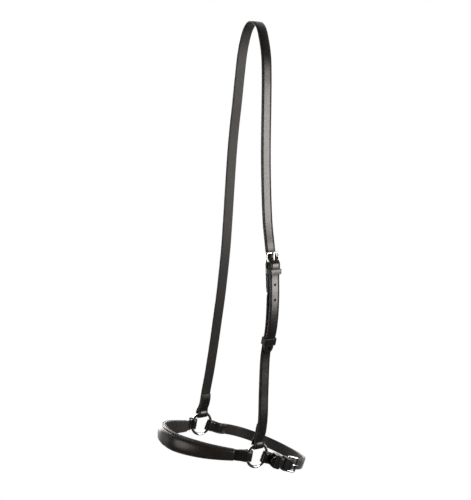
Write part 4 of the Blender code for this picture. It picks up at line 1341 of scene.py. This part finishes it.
def lining_section(share, _, left):
    """Soft leather with a rolled rim."""
    half, top = nose_width(share) / 2, -HALF_LEATHER - NOSE_LAYER_GAP
    radius = end_round(left, NOSE_LINING) / 2
    right = []
    for step in range(2 * ROUND_STEPS + 1):
        angle = pi / 2 * (step / ROUND_STEPS - 1)
        across = half - radius + radius * cos(angle)
        right.append((across, top - radius + radius * sin(angle)))
    inner = [(half * part, top - 2 * radius) for part in LINING_SHARES]
    outer = [(half * part, top) for part in LINING_SHARES[::-1]]
    return inner + right + outer + [(-across, out) for across, out in right[::-1]]


def nose_layer_mesh(name, plane, section, look):
    """A layer that runs between the nosepiece's folds with a changing cross section."""
    route, fold = nose_route(), ring_fold(SHORT_RING_LAP)
    start = nose_start(fold)
    rings = []
    for place in even(start, route.length - start, PAD_STATION_STEP):
        share = swell_share(route, fold, place)
        left = min(place - start, route.length - start - place)
        ring = []
        for across, out in section(share, place, left):
            flat = route.beside(place, out)
            mark = (place, 2 * across / nose_width(share))
            ring.append((plane @ Vector((flat.x, flat.y, across)), mark))
        rings.append(ring)
    return skin_mesh(name, rings, [0] * len(rings[0]), [look])


def lap_rows(route, plane, fold, from_end, first):
    """Two rows of stitches down a folded end, on the strap's outer face and on the lap's."""
    last = lap_end(fold) - STITCH_EDGE
    edge = HALF_STRAP - STITCH_EDGE
    rows = []
    for across in (-edge, edge):
        for face in (1, -1):
            line = []
            for inside in even(first, last, STATION_STEP):
                place = route.length - inside if from_end else inside
                thick = HALF_LEATHER if face > 0 else 2 * lap_half(fold, inside) - HALF_LEATHER
                reach = face * (fold_offset(fold, inside) + thick)
                line.append(face_point(route, plane, place, reach, across))
            rows.append(line)
    return rows


def flange_rows(plane):
    """Rows of stitches along both edges of the nosepiece, on its cover and on its lining."""
    route, fold = nose_route(), ring_fold(SHORT_RING_LAP)
    start = nose_start(fold) + STITCH_EDGE
    faces = (
        HALF_LEATHER + NOSE_LAYER_GAP + NOSE_COVER,
        -HALF_LEATHER - NOSE_LAYER_GAP - NOSE_LINING,
    )
    rows = []
    for sense in (-1, 1):
        for offset in faces:
            line = []
            for place in even(start, route.length - start, STATION_STEP):
                width = nose_width(swell_share(route, fold, place)) / 2 - NOSE_FLANGE / 2
                line.append(face_point(route, plane, place, offset, sense * width))
            rows.append(line)
    return rows


def stitched(name, rows):
    """A run of waxed stitches along these rows."""
    sizes = bpy.context.scene.noseband_sizes
    return grown(
        name, rows, stitch_tree, Pitch=sizes.stitch_pitch, Length=sizes.stitch_length,
        Thread=sizes.thread, Slant=sizes.stitch_slant, Unevenness=STITCH_UNEVENNESS,
        Seed=STITCH_SEED, Finish=finish("thread"),
    )


class NOSEBAND_OT_headpiece(bpy.types.Operator):
    """Cut the headpiece and the near cheekpiece, fold them round their rings and punch them"""

    bl_idname = "noseband.headpiece"
    bl_label = "Headpiece and cheekpiece"

    def execute(self, context):
        plane = head_plane()
        head, cheek = head_routes()
        ring_lap, chape = ring_fold(LONG_RING_LAP), bar_fold(CHEEK_CHAPE_RUN, CHEEK_CHAPE_LAP)
        buckle = plane @ frame_matrix(cheek, 0.0)
        first_hole = pierced_place(head, cheek) + CHEEK_HOLE_FROM_PIN
        cutters = pin_cutters(buckle)
        cutters.append(punched(head, plane, first_hole, CHEEK_BILLET_HOLES))
        cutters.append(punched(head, plane, head.length - TIP_HOLE_FROM_END, 1))
        mesh = cut_out(strap_mesh("headpiece_leather", head, plane, ring_lap), cutters)
        add_piece(mesh, "headpiece", "leather", "headpiece_strap")
        mesh = strap_mesh("near_cheekpiece_leather", cheek, plane, chape, ring_lap)
        mesh = cut_out(mesh, [slot_cutter(buckle)])
        add_piece(mesh, "headpiece", "leather", "near_cheekpiece")
        return {"FINISHED"}


class NOSEBAND_OT_chin_straps(bpy.types.Operator):
    """Cut the long and the short chin strap, fold them round their rings and punch them"""

    bl_idname = "noseband.chin_straps"
    bl_label = "Chin straps"

    def execute(self, context):
        plane = chin_plane()
        long, short = chin_routes()
        buckle = plane @ frame_matrix(short, 0.0)
        pierced = pierced_place(long, short)
        cutters = pin_cutters(buckle)
        cutters.append(punched(long, plane, pierced + HOLE_PITCH, 1))
        first_hole = pierced - HOLE_PITCH * CHIN_SPARE_HOLES
        cutters.append(punched(long, plane, first_hole, CHIN_SPARE_HOLES))
        mesh = strap_mesh("chin_long_leather", long, plane, ring_fold(LONG_RING_LAP))
        mesh = cut_out(mesh, cutters)
        add_piece(mesh, "chin_strap", "leather", "chin_long_strap")
        chape = bar_fold(CHIN_CHAPE_RUN, CHIN_CHAPE_LAP)
        mesh = strap_mesh("chin_short_leather", short, plane, chape, ring_fold(SHORT_RING_LAP))
        mesh = cut_out(mesh, [slot_cutter(buckle)])
        add_piece(mesh, "chin_strap", "leather", "chin_short_strap")
        return {"FINISHED"}


class NOSEBAND_OT_nosepiece(bpy.types.Operator):
    """Build the nosepiece from its backing, lining, felt and crowned cover"""

    bl_idname = "noseband.nosepiece"
    bl_label = "Nosepiece"

    def execute(self, context):
        plane = nose_plane()
        route, fold = nose_route(), ring_fold(SHORT_RING_LAP)

        def half_at(place):
            return nose_width(swell_share(route, fold, place)) / 2

        mesh = strap_mesh("nosepiece_backing_leather", route, plane, fold, fold, half_at)
        add_piece(mesh, "nosepiece", "leather", "nosepiece_backing")
        mesh = nose_layer_mesh("nosepiece_cover_leather", plane, cover_section, finish("pad"))
        add_piece(mesh, "nosepiece", "leather", "nosepiece_cover")
        mesh = nose_layer_mesh("nosepiece_felt", plane, padding_section, finish("felt"))
        add_piece(mesh, "nosepiece", "felt", "nosepiece_padding")
        mesh = nose_layer_mesh("nosepiece_lining_leather", plane, lining_section, finish("lining"))
        add_piece(mesh, "nosepiece", "lining", "nosepiece_lining")
        return {"FINISHED"}


class NOSEBAND_OT_keepers(bpy.types.Operator):
    """Wrap the two fixed and the two running keepers round their straps"""

    bl_idname = "noseband.keepers"
    bl_label = "Keepers"

    def execute(self, context):
        head, cheek = head_routes()
        long, short = chin_routes()
        rows = (
            ("cheek", head_plane(), head, cheek, "headpiece", LONG_RING_LAP,
             CHEEK_KEEPER_WIDTH, -CHEEK_RUNNING_KEEPER_SHARE * HEAD_DROP),
            ("chin", chin_plane(), long, short, "chin_strap", SHORT_RING_LAP,
             CHIN_KEEPER_WIDTH, CHIN_RUNNING_KEEPER_SHARE * CHIN_BAR_BACK),
        )
        for prefix, plane, billet, chape, body, lap, running_width, level in rows:
            place = chape.level_place(level)
            running = inner_reach(chape, place, running_width, ring_fold(lap))
            keepers = (
                ("_fixed_keeper", FIXED_KEEPER_FROM_BAR, KEEPER_THICKNESS / 2,
                 FIXED_KEEPER_WIDTH, body),
                ("_running_keeper", place, running, running_width, prefix + "_keeper"),
            )
            for kind, place, inner, width, body in keepers:
                lift = max(under_keeper(chape, place, width, billet.points).values())
                outer = lift + HALF_LEATHER + CLEARANCE
                name = prefix + kind
                mesh = keeper_mesh(name + "_leather", chape, plane, place, inner, outer, width)
                add_piece(mesh, body, "leather", name)
        return {"FINISHED"}


class NOSEBAND_OT_metalwork(bpy.types.Operator):
    """Bend the rings, the buckle frames and their tongues from nickel-plated wire"""

    bl_idname = "noseband.metalwork"
    bl_label = "Rings and buckles"

    def execute(self, context):
        for side, name in ((1, "near"), (-1, "off")):
            mesh = ring_mesh(name + "_ring_wire", side)
            add_piece(mesh, name + "_side_ring", "nickel", name + "_ring")
        rows = (
            ("cheek", head_plane(), head_routes()[1], "headpiece"),
            ("chin", chin_plane(), chin_routes()[1], "chin_strap"),
        )
        for prefix, plane, chape, body in rows:
            matrix = plane @ frame_matrix(chape, 0.0)
            mesh = buckle_frame_mesh(prefix + "_buckle_wire", matrix)
            add_piece(mesh, body, "nickel", prefix + "_buckle_frame")
            mesh = tongue_mesh(prefix + "_tongue_pin", matrix)
            add_piece(mesh, prefix + "_tongue", "nickel", prefix + "_buckle_tongue")
        return {"FINISHED"}


class NOSEBAND_OT_stitching(bpy.types.Operator):
    """Sew the folded ends and the edges of the nosepiece"""

    bl_idname = "noseband.stitching"
    bl_label = "Stitching"

    def execute(self, context):
        head, cheek = head_routes()
        ring_lap, first = ring_fold(LONG_RING_LAP), RING_FOLD_DEPTH + RING_FOLD_RUN
        chape = bar_fold(CHEEK_CHAPE_RUN, CHEEK_CHAPE_LAP)
        behind_keeper = FIXED_KEEPER_FROM_BAR + FIXED_KEEPER_WIDTH / 2 + STITCH_EDGE
        plane = head_plane()
        head_rows = lap_rows(head, plane, ring_lap, False, first)
        head_rows += lap_rows(cheek, plane, ring_lap, True, first)
        head_rows += lap_rows(cheek, plane, chape, False, behind_keeper)
        chin_rows = lap_rows(chin_routes()[0], chin_plane(), ring_lap, False, first)
        for body, rows, nodes in (
            ("headpiece", head_rows,
             ("off_cheek_stitching", "near_cheek_stitching", "cheek_chape_stitching")),
            ("chin_strap", chin_rows, ("chin_off_stitching",)),
            ("nosepiece", flange_rows(nose_plane()), ()),
        ):
            finish_piece(stitched(body + "_thread", rows), body, "thread", *nodes)
        return {"FINISHED"}


def area_lamp(name, way, distance, size, power):
    """A soft lamp that shines on the middle of the noseband from this way."""
    centre = (packed_box[0] + packed_box[1]) / 2
    light = bpy.data.lights.new(name, "AREA")
    light.shape, light.size, light.energy = "DISK", size, power
    item = shown(name, light)
    item.location = centre + distance * Vector(way).normalized()
    item.rotation_euler = (centre - item.location).to_track_quat("-Z", "Y").to_euler()
    item.visible_camera = False


def white_surround(stage):
    """A white studio that is dim on the side that the photograph was taken from."""
    world = bpy.data.worlds.new("studio_surround")
    world.use_nodes = True
    board = NodeBoard(world.node_tree)
    behind = board.along(board.out("Generated", "ShaderNodeTexCoord"), BACKDROP_WAY)
    backdrop = board.ranged(behind, *BACKDROP_FADE, stage.dim_side, 1.0)
    rays = board.add("ShaderNodeLightPath").outputs
    level = rays["Is Camera Ray"]
    for other in (rays["Is Transmission Ray"], board.scaled(backdrop, rays["Is Glossy Ray"]),
                  board.scaled(rays["Is Diffuse Ray"], stage.surround)):
        level = board.math("MAXIMUM", level, other)
    board.feed(world.node_tree.nodes["Background"], {"Color": WHITE, "Strength": level})
    bpy.context.scene.world = world


def floor_finish(colour, dim_side):
    """A white floor that keeps the shadow near the noseband and fades to plain white."""
    board = new_finish("studio_floor")
    spot = board.spot()
    split = board.parts(spot)
    flat = board.vector(split["X"], split["Y"])
    rough = board.rough(board.noise(spot, *FLOOR_GRAIN), *FLOOR_ROUGHNESS)
    board.feed(board.shader, {"Base Color": (*colour, 1.0), "Roughness": rough})
    rays = board.add("ShaderNodeLightPath").outputs
    far = board.out("Value", "ShaderNodeVectorMath", {0: flat}, operation="LENGTH")
    faded = board.scaled(board.ranged(far, *FLOOR_FADE), rays["Is Camera Ray"])
    behind = board.along(flat, BACKDROP_WAY)
    mirrored = board.ranged(behind, *FLOOR_MIRROR_FADE, dim_side, 1.0)
    mixed = board.shader.outputs["BSDF"]
    for share, strength in ((faded, 1.0), (rays["Is Glossy Ray"], mirrored)):
        plain = board.add("ShaderNodeEmission", {"Color": WHITE, "Strength": strength})
        mixed = board.out("Shader", "ShaderNodeMixShader", {
            0: share, 1: mixed, 2: plain.outputs["Emission"],
        })
    board.feed(board.tree.nodes["Material Output"], {"Surface": mixed})
    return board.material


class NOSEBAND_OT_stage(bpy.types.Operator):
    """Set the white floor, the soft lamps and the camera of the photograph"""

    bl_idname = "noseband.stage"
    bl_label = "Stage"

    def execute(self, context):
        stage, scene = context.scene.noseband_stage, context.scene
        level = packed_box[0].z - stage.floor_drop
        sides = ((-1, -1), (1, -1), (1, 1), (-1, 1))
        corners = [(FLOOR_REACH * x, FLOOR_REACH * y, level) for x, y in sides]
        mesh = bpy.data.meshes.new("studio_floor")
        mesh.from_pydata(corners, [], [(0, 1, 2, 3)])
        mesh.materials.append(floor_finish(stage.floor_colour, stage.dim_side))
        shown("studio_floor", mesh)
        white_surround(stage)
        for name, place in LAMPS.items():
            area_lamp(name + "_lamp", *place, getattr(stage, name + "_power"))
        camera = bpy.data.cameras.new("photo_camera")
        camera.lens, camera.sensor_width = stage.lens, SENSOR_WIDTH
        scene.camera = shown("photo_camera", camera)
        scene.camera.location = CAMERA_PLACE
        scene.camera.rotation_euler = (pi / 2 - CAMERA_PITCH, 0.0, CAMERA_TURN)
        scene.view_settings.view_transform = "Standard"
        return {"FINISHED"}


class NOSEBAND_PT_panel(bpy.types.Panel):
    """The noseband's sizes, colours and steps"""

    bl_idname = "NOSEBAND_PT_panel"
    bl_label = "Drop Noseband"
    bl_space_type = "VIEW_3D"
    bl_region_type = "UI"
    bl_category = "Noseband"

    def draw(self, context):
        layout = self.layout
        for operator in OPERATORS:
            layout.operator(operator.bl_idname)
        for group in (context.scene.noseband_sizes, context.scene.noseband_colours,
                      context.scene.noseband_stage):
            box = layout.box()
            for name in group.bl_rna.properties.keys():
                if name not in ("rna_type", "name"):
                    box.prop(group, name)


OPERATORS = (
    NOSEBAND_OT_headpiece, NOSEBAND_OT_chin_straps, NOSEBAND_OT_nosepiece,
    NOSEBAND_OT_keepers, NOSEBAND_OT_metalwork, NOSEBAND_OT_stitching, NOSEBAND_OT_stage,
)
GROUPS = {
    "noseband_sizes": NosebandSizes, "noseband_colours": NosebandColours,
    "noseband_stage": NosebandStage,
}


def register():
    for group in GROUPS.values():
        bpy.utils.register_class(group)
    for name, group in GROUPS.items():
        setattr(bpy.types.Scene, name, PointerProperty(type=group))
    for operator in OPERATORS:
        bpy.utils.register_class(operator)
    bpy.utils.register_class(NOSEBAND_PT_panel)


def unregister():
    bpy.utils.unregister_class(NOSEBAND_PT_panel)
    for operator in reversed(OPERATORS):
        bpy.utils.unregister_class(operator)
    for name in GROUPS:
        delattr(bpy.types.Scene, name)
    for group in GROUPS.values():
        bpy.utils.unregister_class(group)


def main():
    register()
    bpy.ops.noseband.headpiece()
    bpy.ops.noseband.chin_straps()
    bpy.ops.noseband.nosepiece()
    bpy.ops.noseband.keepers()
    bpy.ops.noseband.metalwork()
    bpy.ops.noseband.stitching()
    bpy.ops.noseband.stage()


if __name__ == "__main__":
    main()
